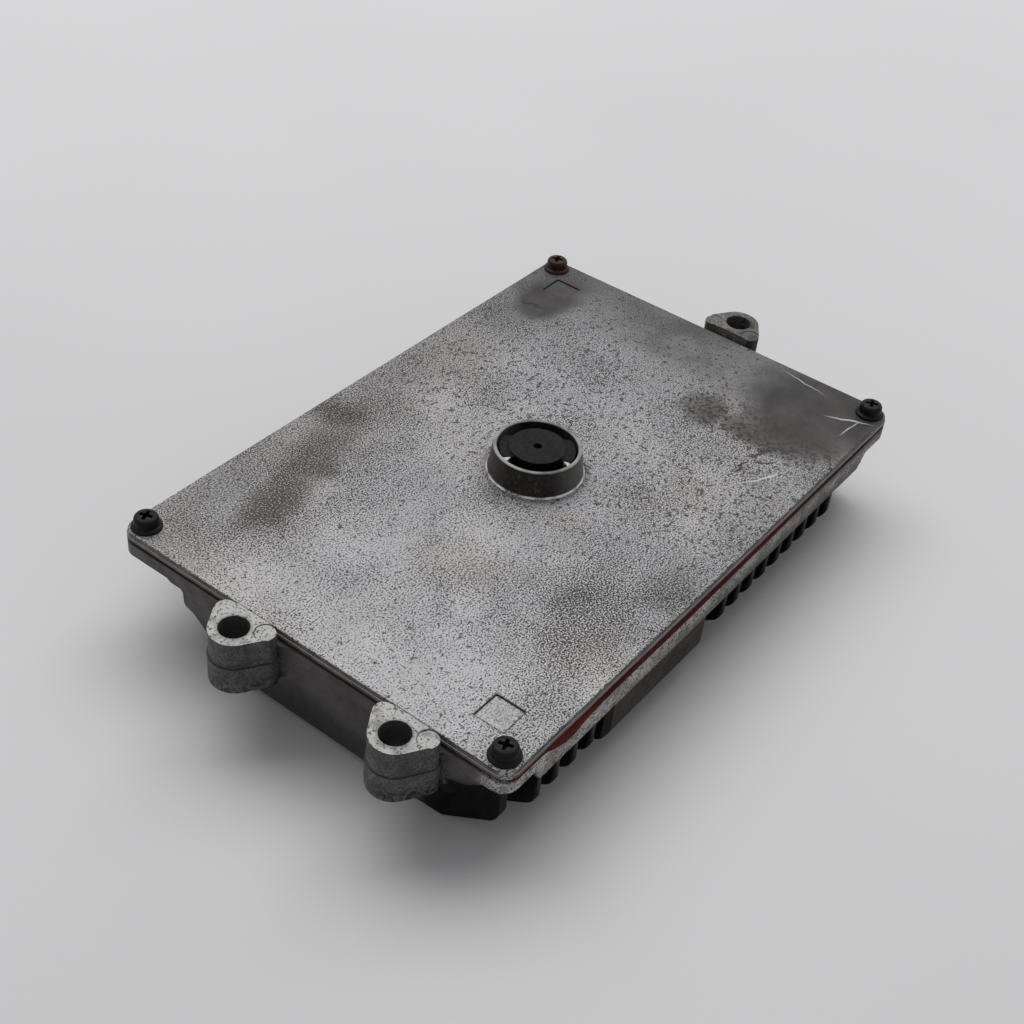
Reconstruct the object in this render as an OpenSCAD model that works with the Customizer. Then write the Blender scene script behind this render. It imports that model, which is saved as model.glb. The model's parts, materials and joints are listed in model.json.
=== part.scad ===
// Engine control unit: a finned die-cast tub under a die-cast cover, with a plastic connector header.
// +X runs along the long side, the fins face -Y, the connectors face +Y and the cover faces up.
// The underside lies on z = 0, and the origin is below the middle of the whole unit.

/* [Cover] */
// Length of the cover and the flange under it
cover_l = 168.6; // [160:0.2:190]
// Width of the cover and the flange under it
cover_w = 112.6; // [108:0.2:126]
// Thickness of the cover at its edge
cover_t = 2.2; // [2:0.1:3.6]
// Corner radius of the cover and the flange
corner_r = 4; // [3:0.25:6]
// Width of the small step round the cover's edge
edge_step_w = 0.3; // [0.2:0.05:0.8]
// Height of the part of the edge below the step
edge_step_h = 0.9; // [0.6:0.1:1.6]
// Distance of each cover screw from the two nearest edges
screw_edge = 4.4; // [3.9:0.1:5]
// Thickness of the silicone between the cover and the flange
seal_t = 0.8; // [0.4:0.05:1.2]
// Width of the silicone round the edge
seal_w = 4.2; // [3:0.1:4.3]
// Depth of the open gap outside the silicone
seal_back = 1.2; // [0.5:0.1:1.8]
// Side of the shallow square marks cast in the cover
mark_side = 7.8; // [5:0.1:12]
// Distance of each square mark's middle from the cover's end
mark_end = 12.9; // [11:0.1:20]
// Distance of each square mark's middle from the cover's side
mark_in = 12.2; // [11:0.1:20]
// Depth of the square marks
mark_deep = 0.35; // [0.2:0.05:0.8]
// Height of the locating lip under the cover
lip_h = 1.2; // [0.8:0.1:1.6]
// Thickness of the locating lip
lip_t = 1.6; // [1.2:0.1:3]

/* [Vent] */
// Place of the vent along the cover, measured from its middle
vent_x = -1; // [-3:0.1:3]
// Place of the vent across the cover, measured from its middle
vent_y = -0.6; // [-3:0.1:3]
// Diameter of the vent collar at its foot
collar_foot_d = 23.8; // [22.6:0.1:30]
// Diameter of the vent collar at its rim
collar_rim_d = 22; // [21.4:0.1:22.5]
// Bore of the vent collar
collar_bore_d = 20.1; // [18.5:0.1:20.4]
// Height of the vent collar above the cover
collar_h = 7.1; // [5.5:0.1:9]
// Diameter of the flat disc of the vent cap
cap_d = 14.2; // [13:0.1:15]
// Depth of the vent cap's top below the collar's rim
cap_drop = 0; // [0:0.1:1]
// Hole in the cover that takes the vent stem
vent_hole_d = 8.4; // [7.5:0.1:9]
// Breathing hole in the vent cap
breather_d = 2; // [1.2:0.1:2.6]
// Thickness of the vent's ring seal
ring_seal_d = 1.8; // [1.4:0.1:2]

/* [Ears] */
// Bore of the three mounting ears
ear_hole_d = 7; // [5.5:0.1:8]
// Distance of the ear bores outside the cover's ends
ear_reach = 6.75; // [6.6:0.05:9]
// Spacing of the two ears on one end
ear_spacing = 45.2; // [40:0.2:52]
// Middle of the two ears, measured from the cover's middle
ear_pair_y = -9.9; // [-16:0.1:-6]
// Place of the single ear, measured from the cover's middle
ear_single_y = -4; // [-16:0.2:16]
// Radius of an ear's nose at the top
ear_nose_r = 5.7; // [5:0.1:6.5]
// Width of an ear at its base
ear_base_w = 16.8; // [15:0.2:22]
// Radius of an ear's two base corners
ear_corner_r = 2.4; // [1.5:0.1:3]
// Gap between the cover's edge and the ears
ear_gap = 0.95; // [0.8:0.05:1.4]
// Height of the ears' tops above the cover
ear_rise = 1.6; // [1:0.1:3]
// Height of an ear
ear_h = 14.2; // [12:0.2:18]
// Drop from an ear's top to its mould line
ear_line_drop = 7; // [5.4:0.1:9]
// Growth of an ear below its mould line
ear_line_step = 0.35; // [0.1:0.05:0.6]
// Diameter of the ejector marks on the ears
ejector_d = 5; // [3:0.1:5.4]

/* [Housing] */
// Height of the flange's face above the underside
parting_h = 25; // [24:0.5:32]
// Thickness of the flange
flange_t = 3.4; // [2.8:0.1:4]
// Wall of the tub
wall_t = 3; // [2.4:0.1:3.6]
// Floor of the tub
floor_t = 3; // [2.4:0.1:4]
// Set-back of the tub's finned wall from the flange's edge
tub_front_in = 7; // [6:0.2:8]
// Slope of the tub's finned wall
tub_front_deg = 55; // [50:1:62]
// Radius where the finned wall meets the underside
tub_front_r = 14; // [6:0.5:18]
// Set-back of the tub's end shoulder from the flange's edge
tub_back_in = 14; // [13.6:0.2:16]
// Width of the tub's end shoulder
shoulder_w = 5.2; // [5:0.2:7]
// Height of the tub's end shoulder
shoulder_h = 4.9; // [3:0.1:6]
// Slope of the tub's wall below the end shoulder
tub_back_deg = 45; // [43:1:55]
// Radius where that wall meets the underside
tub_back_r = 8; // [4:0.5:12]
// Set-back of the end walls under the flange
end_in = 0.6; // [0.3:0.1:1.2]
// Lean of the end walls
end_draft = 1.6; // [0.6:0.1:2.4]
// Radius at the foot of the end walls
end_r = 3; // [1.5:0.25:5]
// Thickness of the end walls at the flange's face
end_wall = 5.5; // [5:0.1:6.5]

/* [Fins] */
// Distance of the first fin from the cover's end
fins_end = 13; // [12:0.1:16]
// Pitch of the fins
fin_pitch = 6.6; // [6:0.1:7.2]
// Thickness of a fin at its nose
fin_t = 2.4; // [1.8:0.1:3]
// Growth of a fin's thickness from its nose to its root
fin_taper = 0.8; // [0.4:0.1:1.2]
// Fins before the plain bay
fins_a = 4; // [3:1:4]
// Fins after the plain bay
fins_b = 9; // [6:1:9]
// Length of the plain bay between the fins
bay_l = 40.5; // [34:0.5:42]
// Gap between the bay and the fins after it
bay_gap = 8; // [6:0.1:9]
// Slope of the fins' lower edge
fin_deg = 33; // [28:1:38]
// Height of the lower outer corner of the first fins
fin_a_low = 9.3; // [8:0.1:12]
// Height of the lower outer corner of the last fins
fin_b_low = 9.3; // [8:0.1:12]
// Height of the lower outer corner of the bay
bay_low = 7.6; // [7:0.1:10]
// Radius of the fins' lower outer corner
fin_r = 5; // [3:0.25:6]
// Depth of the side band that carries the fins, below the flange
band_h = 3.8; // [3:0.1:5]
// Wall of the bay
bay_wall = 4.4; // [4.3:0.1:5]

/* [Connector] */
// Length of the header's plate
header_l = 122; // [120:0.5:126]
// Reach of the sockets past the cover's edge
header_reach = 6.2; // [5:0.2:6.4]
// Set-back of the header's plate from the cover's edge
plate_in = 13.4; // [13:0.2:15]
// Thickness of the header's plate
plate_t = 3; // [2.4:0.1:3.4]
// Clearance between the header's plate and the housing
plate_clear = 0.2; // [0.1:0.05:0.4]
// Wall of the sockets
socket_wall = 2; // [1.6:0.1:2.4]
// Wall between two sockets
socket_rib = 3; // [2:0.1:4]
// Inner height of the sockets
socket_h = 10.6; // [10:0.1:10.8]
// Height of the sockets' floor above the underside
socket_z = 8; // [7.8:0.1:8.2]
// Thickness of a connector pin
pin_t = 0.8; // [0.5:0.05:1]
// Pitch of the pins in a row
pin_pitch = 3.3; // [2.6:0.1:3.4]
// Distance between the two rows of pins
pin_rows = 4; // [3:0.1:4.2]
// Reach of the pins into their sockets
pin_reach = 9; // [6:0.2:11]

/* [Circuit board] */
// Drop from the flange's face to the underside of the board
board_drop = 4.4; // [4.2:0.1:4.6]
// Thickness of the board
board_t = 1.6; // [1.2:0.1:1.6]
// Clearance round the board
board_clear = 0.5; // [0.3:0.1:1]
// Diameter of the board screws
board_screw_d = 3; // [2.5:0.1:3.5]
// Diameter of the posts under the board screws
post_d = 7.2; // [6.4:0.1:8]
// Distance of the corner posts from the board's ends
post_end = 5; // [4.4:0.1:8]
// Thickness of the thermal pads
thermal_t = 0.7; // [0.4:0.05:1]
// Height of the power packages
power_h = 2.3; // [2:0.05:2.4]
// Side of the main processor
processor_side = 28; // [20:0.5:30]
// Diameter of the smoothing capacitors
capacitor_d = 10; // [8:0.1:10.4]
// Height of the smoothing capacitors
capacitor_h = 13; // [10:0.5:13.5]

/* [Screws] */
// Diameter of the cover screws
screw_d = 4; // [3:0.1:4]
// Diameter of the washer face under each cover screw's head
washer_d = 7.4; // [6.5:0.1:7.6]
// Diameter of each cover screw's head
head_d = 5.9; // [5:0.1:6.2]
// Height of each cover screw's head with its washer face
head_h = 3.4; // [2.6:0.1:4]
// Clearance round each screw in its hole
screw_clear = 0.05; // [0.02:0.01:0.1]

/* [Hidden] */
$fn = 64;
eps = 0.5;
arc_n = 8;

// Edges of the cover, and the levels of the stack
x_e = cover_l / 2;
y_f = -cover_w / 2;
y_b = cover_w / 2;
cover_z = parting_h + seal_t;
top_z = cover_z + cover_t;
flange_z = parting_h - flange_t;
board_z = parting_h - board_drop;
board_top = board_z + board_t;
ear_top = top_z + ear_rise;
ear_bottom = ear_top - ear_h;
ear_line = ear_top - ear_line_drop;
ear_flare = 14;
ejector_deep = 0.25;

screw_hole_d = screw_d + 0.6;

// Walls of the tub
front_run = 1 / tan(tub_front_deg);
front_shift = wall_t / sin(tub_front_deg);
back_run = 1 / tan(tub_back_deg);
back_shift = wall_t / sin(tub_back_deg);
shoulder_drop = 1.8;
shoulder_slant = 2.9;
shoulder_fall = 3;
shoulder_z = flange_z - shoulder_drop;
shoulder_foot = shoulder_z - shoulder_h;
shoulder_y = y_b - tub_back_in - shoulder_w;
slant_y = shoulder_y - shoulder_slant;
slant_z = shoulder_foot - shoulder_slant / shoulder_fall;
ledge_y = y_b - tub_back_in - wall_t;
shelf_z = board_z - power_h - thermal_t;
pocket_y = y_f + tub_front_in + front_shift + (flange_z - shelf_z) * front_run;
pocket_x = x_e - end_wall;
tub_root_y = y_f + tub_front_in + flange_z * front_run + 4;
hole_floor = 0.4;

// Stem of the vent cap, the turn of its wings, and the gussets of the collar beside them
stem_d = vent_hole_d - 0.3;
stem_bore = stem_d - 2;
stem_head = ring_seal_d + 0.2;
vent_turn = 125.6;
gusset_deg = 53.5;
gusset_drop = 0.5;

// Fins and bay
fin_a_x = -x_e + fins_end;
bay_x0 = fin_a_x + fins_a * fin_pitch - fin_t / 2;
bay_x1 = bay_x0 + bay_l;
fin_b_x = bay_x1 + bay_gap + fin_t / 2;
fin_b_end = fin_b_x + (fins_b - 1) * fin_pitch;
fin_back = 0.4;
band_z = flange_z - band_h;
corner_web_t = 3;
corner_web_in = 3.4;
band_lead = 2;
band_tail = 12.6;
bay_chamfer = 1.4;

// Header: its plate stands on the tub's floor between two cheeks
plate_y1 = y_b - plate_in;
plate_y0 = plate_y1 - plate_t;
mouth_y = y_b + header_reach;
notch_x = header_l / 2 + plate_clear;
cheek_t = 4;
curb_t = 2.4;
curb_h = 2.5;
roof_back = 0.8;
roof_z = socket_z + socket_h + socket_wall;
socket_floor_y = plate_y1 + 1.5;
potting_rim = 2;
header_edge = 5;
socket_share = [0.392, 0.333, 0.275];
socket_room = header_l - 2 * header_edge - 2 * socket_rib - 2 * socket_wall;
socket_w = socket_room * socket_share;
pin_margin = 1.1;
socket_pins = [for (w = socket_w) floor((w - 2 * potting_rim - 2 * pin_margin) / pin_pitch) + 1];
shroud_l = socket_w[0] + socket_w[1] + socket_w[2] + 2 * socket_rib + 2 * socket_wall;
socket_x = [
    -shroud_l / 2 + socket_wall + socket_w[0] / 2,
    -shroud_l / 2 + socket_wall + socket_w[0] + socket_rib + socket_w[1] / 2,
    shroud_l / 2 - socket_wall - socket_w[2] / 2
];
row_z = [socket_z + socket_h / 2 - pin_rows / 2, socket_z + socket_h / 2 + pin_rows / 2];
board_back = plate_y0 - 2;
row_edge = 1.5;
row_y = [board_back - row_edge - 3.2, board_back - row_edge];
pin_tail = 1;
pin_hole_d = pin_t * 1.6;
lug_w = 5;
lug_y = 7;
lug_h = 6;
lug_screw_d = 2.5;
lug_head_d = 4.6;
lug_head_h = 1.6;
lug_x = header_l / 2 - lug_w / 2;
lug_mid_y = plate_y0 - lug_y / 2;

// Board and what it carries
board_x = pocket_x - end_draft - board_clear - 1.4;
board_front = pocket_y + board_clear;
post_x = board_x - post_end;
post_sunk = 0.8;
post_back_y = shoulder_y - wall_t - post_d / 2 + post_sunk;
posts = [
    [-post_x, board_front + post_end], [post_x, board_front + post_end],
    [-post_x, post_back_y], [post_x, post_back_y], [0, 8]
];
board_hole_gap = 0.2;
board_head_d = 5.4;
board_head_h = 1.8;
board_screw_l = 8;
shelf_w = 10;
shelf_lip = 2;
shelf_deep = 9;
power_y = pocket_y + shelf_w / 2;
power_lead = 4;
power_tail = 3.8;
power_space = 2;
transistor_size = [6.6, 6.2];
transistor_leads = 4;
power_x0 = fin_b_x + power_lead;
power_x1 = post_x - post_d / 2 - transistor_size.x / 2 - power_tail;
power_pitch = (power_x1 - power_x0) / 4;
driver_size = [power_pitch - power_space, 6.4];
driver_x = [for (i = [0, 1]) power_x0 + i * power_pitch];
transistor_x = [for (i = [2 : 4]) power_x0 + i * power_pitch];
pad_side = 6;
capacitor_gap = 1;
capacitor_x = [for (i = [-1 : 1]) (bay_x0 + bay_x1) / 2 + i * (capacitor_d + capacitor_gap)];
capacitor_y = board_front + capacitor_d / 2 + capacitor_gap;
processor_at = [-25, -12];
processor_h = 2.2;
processor_leads = 22;
memory_at = [22, -14];
memory_size = [7.6, 5.4];
memory_h = 1.8;
sensor_at = [42, 12];
sensor_side = 8;
sensor_h = 1.6;
sensor_port_d = 4;
sensor_port_h = 2.6;
regulator_at = [-58, 16];
regulator_size = [10, 8.6];
regulator_h = 4.4;
inductor_at = [[-58, -22], [-58, -4]];
inductor_side = 12;
inductor_h = 6.5;
crystal_at = [-18, 18];
crystal_size = [11, 4.8];
crystal_h = 3.6;
diode_at = [20, 24];
diode_n = 5;
diode_pitch = 7;
diode_size = [3.6, 4.6];
chip_cap_at = [-50, 12];
chip_cap_pitch = [6, 6];
chip_cap_size = [3.2, 1.6, 1.2];
chip_res_in = 12.3;
chip_res_at = [10, board_front + chip_res_in];
chip_res_pitch = [5, 4.5];
chip_res_size = [2, 1.25, 0.5];

// Points of a rounded corner at p, between its neighbours a and b
function unit(v) = v / norm(v);
function turn(d) = d > 180 ? d - 360 : d < -180 ? d + 360 : d;
function corner_arc(a, p, b, r, n) =
    r <= 0 ? [p] :
    let (u = unit(a - p), v = unit(b - p), half = acos(u * v) / 2)
    let (c = p + unit(u + v) * r / sin(half))
    let (s = p + u * r / tan(half) - c, e = p + v * r / tan(half) - c)
    let (from = atan2(s.y, s.x), sweep = turn(atan2(e.y, e.x) - from))
    [for (i = [0 : n]) c + r * [cos(from + sweep * i / n), sin(from + sweep * i / n)]];

// An outline with its own radius at each corner
function rounded(pts, radii, n = arc_n) = [
    for (i = [0 : len(pts) - 1])
        each corner_arc(pts[(i + len(pts) - 1) % len(pts)], pts[i], pts[(i + 1) % len(pts)], radii[i], n)
];

// Place along X of pin k of socket i
function pin_x(i, k) = socket_x[i] + (k - (socket_pins[i] - 1) / 2) * pin_pitch;

// Puts the cover's middle where the whole unit is centred
module seated() {
    translate([0, -header_reach / 2, 0]) children();
}

// Extrudes a side view along X, with its first axis on Y
module along_x(x0, x1) {
    translate([x0, 0, 0]) rotate([90, 0, 90]) linear_extrude(x1 - x0) children();
}

// Extrudes a front view along Y, with its first axis on X
module along_y(y0, y1) {
    translate([0, y1, 0]) rotate([90, 0, 0]) linear_extrude(y1 - y0) children();
}

module block(x, y, z) {
    translate([x[0], y[0], z[0]]) cube([x[1] - x[0], y[1] - y[0], z[1] - z[0]]);
}

module rounded_rect(x, y, r) {
    translate([x[0] + r, y[0]]) square([x[1] - x[0] - 2 * r, y[1] - y[0]]);
    translate([x[0], y[0] + r]) square([x[1] - x[0], y[1] - y[0] - 2 * r]);
    for (cx = [x[0] + r, x[1] - r])
        for (cy = [y[0] + r, y[1] - r])
            translate([cx, cy]) circle(r);
}

module at_cover_screws() {
    for (sx = [-1, 1])
        for (sy = [-1, 1])
            translate([sx * (x_e - screw_edge), sy * (y_b - screw_edge), 0]) children();
}

// Places the vent's pieces on the cover's face
module at_vent() {
    translate([vent_x, vent_y, top_z]) children();
}

// Places an ear's children with +X pointing outwards from the cover's end
module at_ears() {
    for (side = [-1, 1])
        translate([-x_e, ear_pair_y + side * ear_spacing / 2, 0]) mirror([1, 0, 0]) children();
    translate([x_e, ear_single_y, 0]) children();
}

// Plan of an ear, grown by a small amount all round: a nose and two base corners, joined by tangents
function arc(c, r, from, to, n) = [
    for (i = [0 : n]) c + r * [cos(from + (to - from) * i / n), sin(from + (to - from) * i / n)]
];
function ear_plan(grow) = let (
    nose_r = ear_nose_r + grow,
    base_r = ear_corner_r + grow,
    base = [ear_gap + ear_corner_r, ear_base_w / 2 - ear_corner_r],
    away = base - [ear_reach, 0],
    lean = atan2(away.y, away.x) - acos((nose_r - base_r) / norm(away))
) concat(
    arc([ear_reach, 0], nose_r, -lean, lean, 2 * arc_n),
    arc(base, base_r, lean, 180, arc_n),
    arc([base.x, -base.y], base_r, 180, 360 - lean, arc_n)
);

module ear_body() {
    translate([0, 0, ear_line - eps]) linear_extrude(ear_line_drop + eps) polygon(ear_plan(0));
    translate([0, 0, ear_bottom]) linear_extrude(ear_line - ear_bottom) polygon(ear_plan(ear_line_step));
    // The lower half runs back into the end wall, with a flare on both sides that climbs to the flange
    foot = ear_base_w / 2 - ear_corner_r / 2;
    intersection() {
        translate([0, 0, ear_bottom]) linear_extrude(parting_h - ear_bottom) polygon([
            [-end_wall / 2, -foot - ear_flare], [ear_gap + ear_line_step, -foot],
            [ear_gap + ear_corner_r, 0],
            [ear_gap + ear_line_step, foot], [-end_wall / 2, foot + ear_flare]
        ]);
        along_x(-end_wall, ear_reach) polygon([
            [-foot - ear_flare, flange_z], [-foot, ear_bottom - eps], [foot, ear_bottom - eps],
            [foot + ear_flare, flange_z], [foot + ear_flare, parting_h], [-foot - ear_flare, parting_h]
        ]);
    }
}

module ear_cuts() {
    translate([ear_reach, 0, ear_bottom - eps]) cylinder(d = ear_hole_d, h = ear_h + 2 * eps);
    for (side = [-1, 1])
        translate([ear_gap + ear_corner_r, side * (ear_base_w / 2 - ear_corner_r), ear_top - ejector_deep])
            cylinder(d = ejector_d, h = 2 * ejector_deep);
}

// Side view of the tub's outside, boat-shaped, with the connector side's shoulder
function tub_outline() = let (
    y0 = y_f + tub_front_in,
    y1 = y_b - tub_back_in
) rounded([
    [y0, flange_z + eps], [y0, flange_z], [y0 + flange_z * front_run, 0],
    [slant_y - slant_z * back_run, 0], [slant_y, slant_z],
    [shoulder_y, shoulder_foot], [shoulder_y, shoulder_z], [y1, shoulder_z], [y1, flange_z + eps]
], [0, 0, tub_front_r, tub_back_r, 1.5, 1.5, 1, 1.9, 0]);

// Side view of the tub's inside at its two ends
function tub_inside() = let (
    y0 = pocket_y,
    y1 = shoulder_y - wall_t,
    slope_y = slant_y - back_shift
) [
    [y0, cover_z], [y0, shelf_z], [y0 + (shelf_z - floor_t) * front_run, floor_t],
    [slope_y - (slant_z - floor_t) * back_run, floor_t], [y1, slant_z + (y1 - slope_y) / back_run],
    [y1, board_z], [ledge_y, board_z], [ledge_y, cover_z]
];

// Side view of a fin or of the bay: upright face, round lower corner and a sloping lower edge
function fin_outline(nose_y, low, inner_y) = rounded([
    [nose_y, flange_z + eps], [nose_y, low], [nose_y + low / tan(fin_deg), 0],
    [inner_y, 0], [inner_y, flange_z + eps]
], [0, fin_r, 1, 0, 0]);

// Side view of the space inside the bay
function bay_inside() = let (
    y0 = y_f + bay_wall,
    low = bay_low + wall_t / cos(fin_deg) - bay_wall * tan(fin_deg)
) [
    [y0, cover_z], [y0, low], [y0 + (low - floor_t) / tan(fin_deg), floor_t], [0, floor_t], [0, cover_z]
];

module fin_plan(nose_y, root_y) {
    translate([0, nose_y + fin_t / 2]) circle(d = fin_t);
    polygon([
        [-fin_t / 2, nose_y + fin_t / 2], [fin_t / 2, nose_y + fin_t / 2],
        [(fin_t + fin_taper) / 2, root_y], [-(fin_t + fin_taper) / 2, root_y]
    ]);
}

// A row of fins that share one side view
module fin_row(x0, count, low) {
    nose_y = y_f + fin_back;
    intersection() {
        along_x(x0 - fin_pitch, x0 + count * fin_pitch) polygon(fin_outline(nose_y, low, tub_root_y));
        for (i = [0 : count - 1])
            translate([x0 + i * fin_pitch, 0, -eps])
                linear_extrude(flange_z + 2 * eps) fin_plan(nose_y, tub_root_y);
    }
}

module bay_body() {
    intersection() {
        along_x(bay_x0, bay_x1) polygon(fin_outline(y_f, bay_low, tub_root_y));
        translate([0, 0, -eps]) linear_extrude(flange_z + 2 * eps) polygon([
            [bay_x0, tub_root_y], [bay_x0, y_f + bay_chamfer], [bay_x0 + bay_chamfer, y_f],
            [bay_x1 - bay_chamfer, y_f], [bay_x1, y_f + bay_chamfer], [bay_x1, tub_root_y]
        ]);
    }
}

module tub_body() {
    intersection() {
        along_x(-x_e, x_e) polygon(tub_outline());
        along_y(y_f, y_b) polygon(rounded([
            [-x_e + end_in, flange_z + eps], [-x_e + end_in + end_draft, 0],
            [x_e - end_in - end_draft, 0], [x_e - end_in, flange_z + eps]
        ], [0, end_r, end_r, 0]));
    }
    // Box between the cheeks, where the header stands
    along_x(-notch_x - cheek_t, notch_x + cheek_t) polygon(rounded([
        [0, 0], [plate_y1 + plate_clear + curb_t, 0],
        [plate_y1 + plate_clear + curb_t, flange_z + eps], [0, flange_z + eps]
    ], [0, 2.5, 0, 0]));
}

module flange_body() {
    translate([0, 0, flange_z])
        linear_extrude(flange_t) rounded_rect([-x_e, x_e], [y_f, y_b], corner_r);
    // Band that thickens the finned side
    band_x0 = fin_a_x - fin_t / 2;
    band_x1 = fin_b_end + band_tail;
    along_y(y_f, y_f + tub_front_in + band_h) polygon([
        [band_x0 - band_lead, flange_z + eps], [band_x0, band_z],
        [band_x1, band_z], [band_x1 + band_h, flange_z + eps]
    ]);
    // Web under each corner screw on the finned side
    for (side = [-1, 1])
        translate([side * (x_e - screw_edge), 0, 0]) along_x(-corner_web_t / 2, corner_web_t / 2)
            polygon(fin_outline(y_f + corner_web_in, fin_a_low, tub_root_y));
}

module tub_space() {
    intersection() {
        along_x(-x_e, x_e) polygon(tub_inside());
        along_y(y_f, y_b) polygon([
            [-pocket_x, cover_z], [-pocket_x + end_draft, floor_t],
            [pocket_x - end_draft, floor_t], [pocket_x, cover_z]
        ]);
    }
    along_x(bay_x0 + wall_t, bay_x1 - wall_t) polygon(bay_inside());
    block([-notch_x, notch_x], [0, y_b + eps], [floor_t, cover_z]);
}

// Shelf inside the finned wall that the power packages lie on
module heat_shelf() {
    along_x(driver_x[0] - power_pitch / 2, transistor_x[2] + power_pitch / 2) polygon([
        [pocket_y - wall_t / 2, shelf_z], [pocket_y + shelf_w, shelf_z],
        [pocket_y + shelf_w, shelf_z - shelf_lip],
        [pocket_y + shelf_deep * front_run, shelf_z - shelf_deep],
        [pocket_y + shelf_deep * front_run - wall_t / 2, shelf_z - shelf_deep]
    ]);
}

// Posts that carry the board, kept inside the outer walls
module board_posts() {
    intersection() {
        tub_body();
        for (p = posts)
            translate([p.x, p.y, floor_t - wall_t / 2])
                cylinder(d = post_d, h = board_z - floor_t + wall_t / 2);
    }
    // Heads of the posts, above the tub's own body
    head_z = flange_z - flange_t / 2;
    for (p = posts)
        translate([p.x, p.y, head_z]) cylinder(d = post_d, h = board_z - head_z);
}

module housing() {
    color("#8f908e") seated() difference() {
        union() {
            difference() {
                union() {
                    flange_body();
                    tub_body();
                    bay_body();
                    fin_row(fin_a_x, fins_a, fin_a_low);
                    fin_row(fin_b_x, fins_b, fin_b_low);
                    at_ears() ear_body();
                }
                tub_space();
            }
            heat_shelf();
            board_posts();
            // Curb that keeps the header's plate in place
            block([-notch_x - cheek_t / 2, notch_x + cheek_t / 2],
                  [plate_y1 + plate_clear, plate_y1 + plate_clear + curb_t],
                  [floor_t / 2, floor_t + curb_h]);
        }
        at_ears() ear_cuts();
        at_cover_screws() translate([0, 0, flange_z + hole_floor])
            cylinder(d = screw_d + 2 * screw_clear, h = flange_t);
        for (p = posts)
            translate([p.x, p.y, board_top - board_screw_l - hole_floor])
                cylinder(d = board_screw_d + 2 * screw_clear, h = board_screw_l);
    }
}

// Collar that guards the vent, drawn as one revolved section
module vent_collar() {
    sunk = 0.2;
    foot_flare = 0.5;
    foot_h = 0.6;
    rotate_extrude() polygon(rounded([
        [collar_bore_d / 2, -sunk], [collar_foot_d / 2 + foot_flare, -sunk], [collar_foot_d / 2, foot_h],
        [collar_rim_d / 2, collar_h], [collar_bore_d / 2, collar_h]
    ], [0, 0, 0.5, 0.3, 0.3], arc_n / 2));
}

// Small gussets inside the collar, beside the cap's wings
module collar_gussets() {
    root = collar_bore_d / 2 + 0.3;
    half_w = 1.1;
    reach = 2.3;
    for (side = [-1, 1])
        rotate([0, 0, vent_turn + 90 + side * gusset_deg]) translate([0, 0, -edge_step_w])
            linear_extrude(collar_h - gusset_drop + edge_step_w)
                polygon([[root, -half_w], [root, half_w], [root - reach, 0]]);
}

module cover() {
    color("#a3a4a2") seated() difference() {
        union() {
            translate([0, 0, cover_z]) linear_extrude(edge_step_h)
                rounded_rect([-x_e, x_e], [y_f, y_b], corner_r);
            translate([0, 0, cover_z]) linear_extrude(cover_t) rounded_rect(
                [-x_e + edge_step_w, x_e - edge_step_w], [y_f + edge_step_w, y_b - edge_step_w],
                corner_r - edge_step_w);
            at_vent() vent_collar();
            at_vent() collar_gussets();
            lip_body();
        }
        at_vent() translate([0, 0, -cover_t - eps]) cylinder(d = vent_hole_d, h = cover_t + 2 * eps);
        at_cover_screws() translate([0, 0, cover_z - eps])
            cylinder(d = screw_hole_d, h = cover_t + 2 * eps);
        for (side = [-1, 1])
            translate([side * (x_e - mark_end), side * (y_b - mark_in), top_z - mark_deep])
                linear_extrude(2 * mark_deep)
                    rounded_rect([-mark_side / 2, mark_side / 2], [-mark_side / 2, mark_side / 2], 0.6);
    }
}

// Lip that drops into the tub's mouth and keeps the cover in place
module lip_body() {
    x1 = pocket_x - board_clear;
    y0 = pocket_y + board_clear;
    y1 = ledge_y - board_clear;
    translate([0, 0, cover_z - lip_h]) linear_extrude(lip_h + 1) difference() {
        rounded_rect([-x1, x1], [y0, y1], 2);
        rounded_rect([-x1 + lip_t, x1 - lip_t], [y0 + lip_t, y1 - lip_t], 1);
    }
}

// Silicone pressed out to the very edge on the finned side and set back on the other three
module sealant() {
    color("#8e2f2a") seated() translate([0, 0, parting_h]) linear_extrude(seal_t) difference() {
        seal_outline();
        difference() {
            rounded_rect([-x_e + seal_w, x_e - seal_w], [y_f + seal_w, y_b - seal_w], corner_r);
            // It widens round the screws
            at_cover_screws() circle(d = washer_d + seal_w);
        }
        at_cover_screws() circle(d = screw_hole_d + seal_t);
    }
}

module seal_outline() {
    rounded_rect([-x_e + seal_back, x_e - seal_back], [y_f, y_b - seal_back], corner_r - seal_back);
}

module cover_screw() {
    shank_l = cover_t + seal_t + flange_t - 2 * hole_floor;
    difference() {
        rotate_extrude() polygon(rounded([
            [0, -shank_l], [screw_d / 2 - 0.4, -shank_l], [screw_d / 2, 0.4 - shank_l], [screw_d / 2, 0],
            [washer_d / 2, 0], [washer_d / 2 - 0.1, 0.8], [head_d / 2, 0.9],
            [head_d / 2, head_h], [0, head_h]
        ], [0, 0, 0, 0, 0.2, 0.2, 0, 1.1, 0], 5));
        for (a = [0, 90])
            rotate([0, 0, a]) translate([-head_d * 0.3, -0.5, head_h - 1.7]) cube([head_d * 0.6, 1, 2]);
    }
}

module cover_screws() {
    color("#202022") seated() at_cover_screws() translate([0, 0, top_z]) cover_screw();
}

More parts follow.
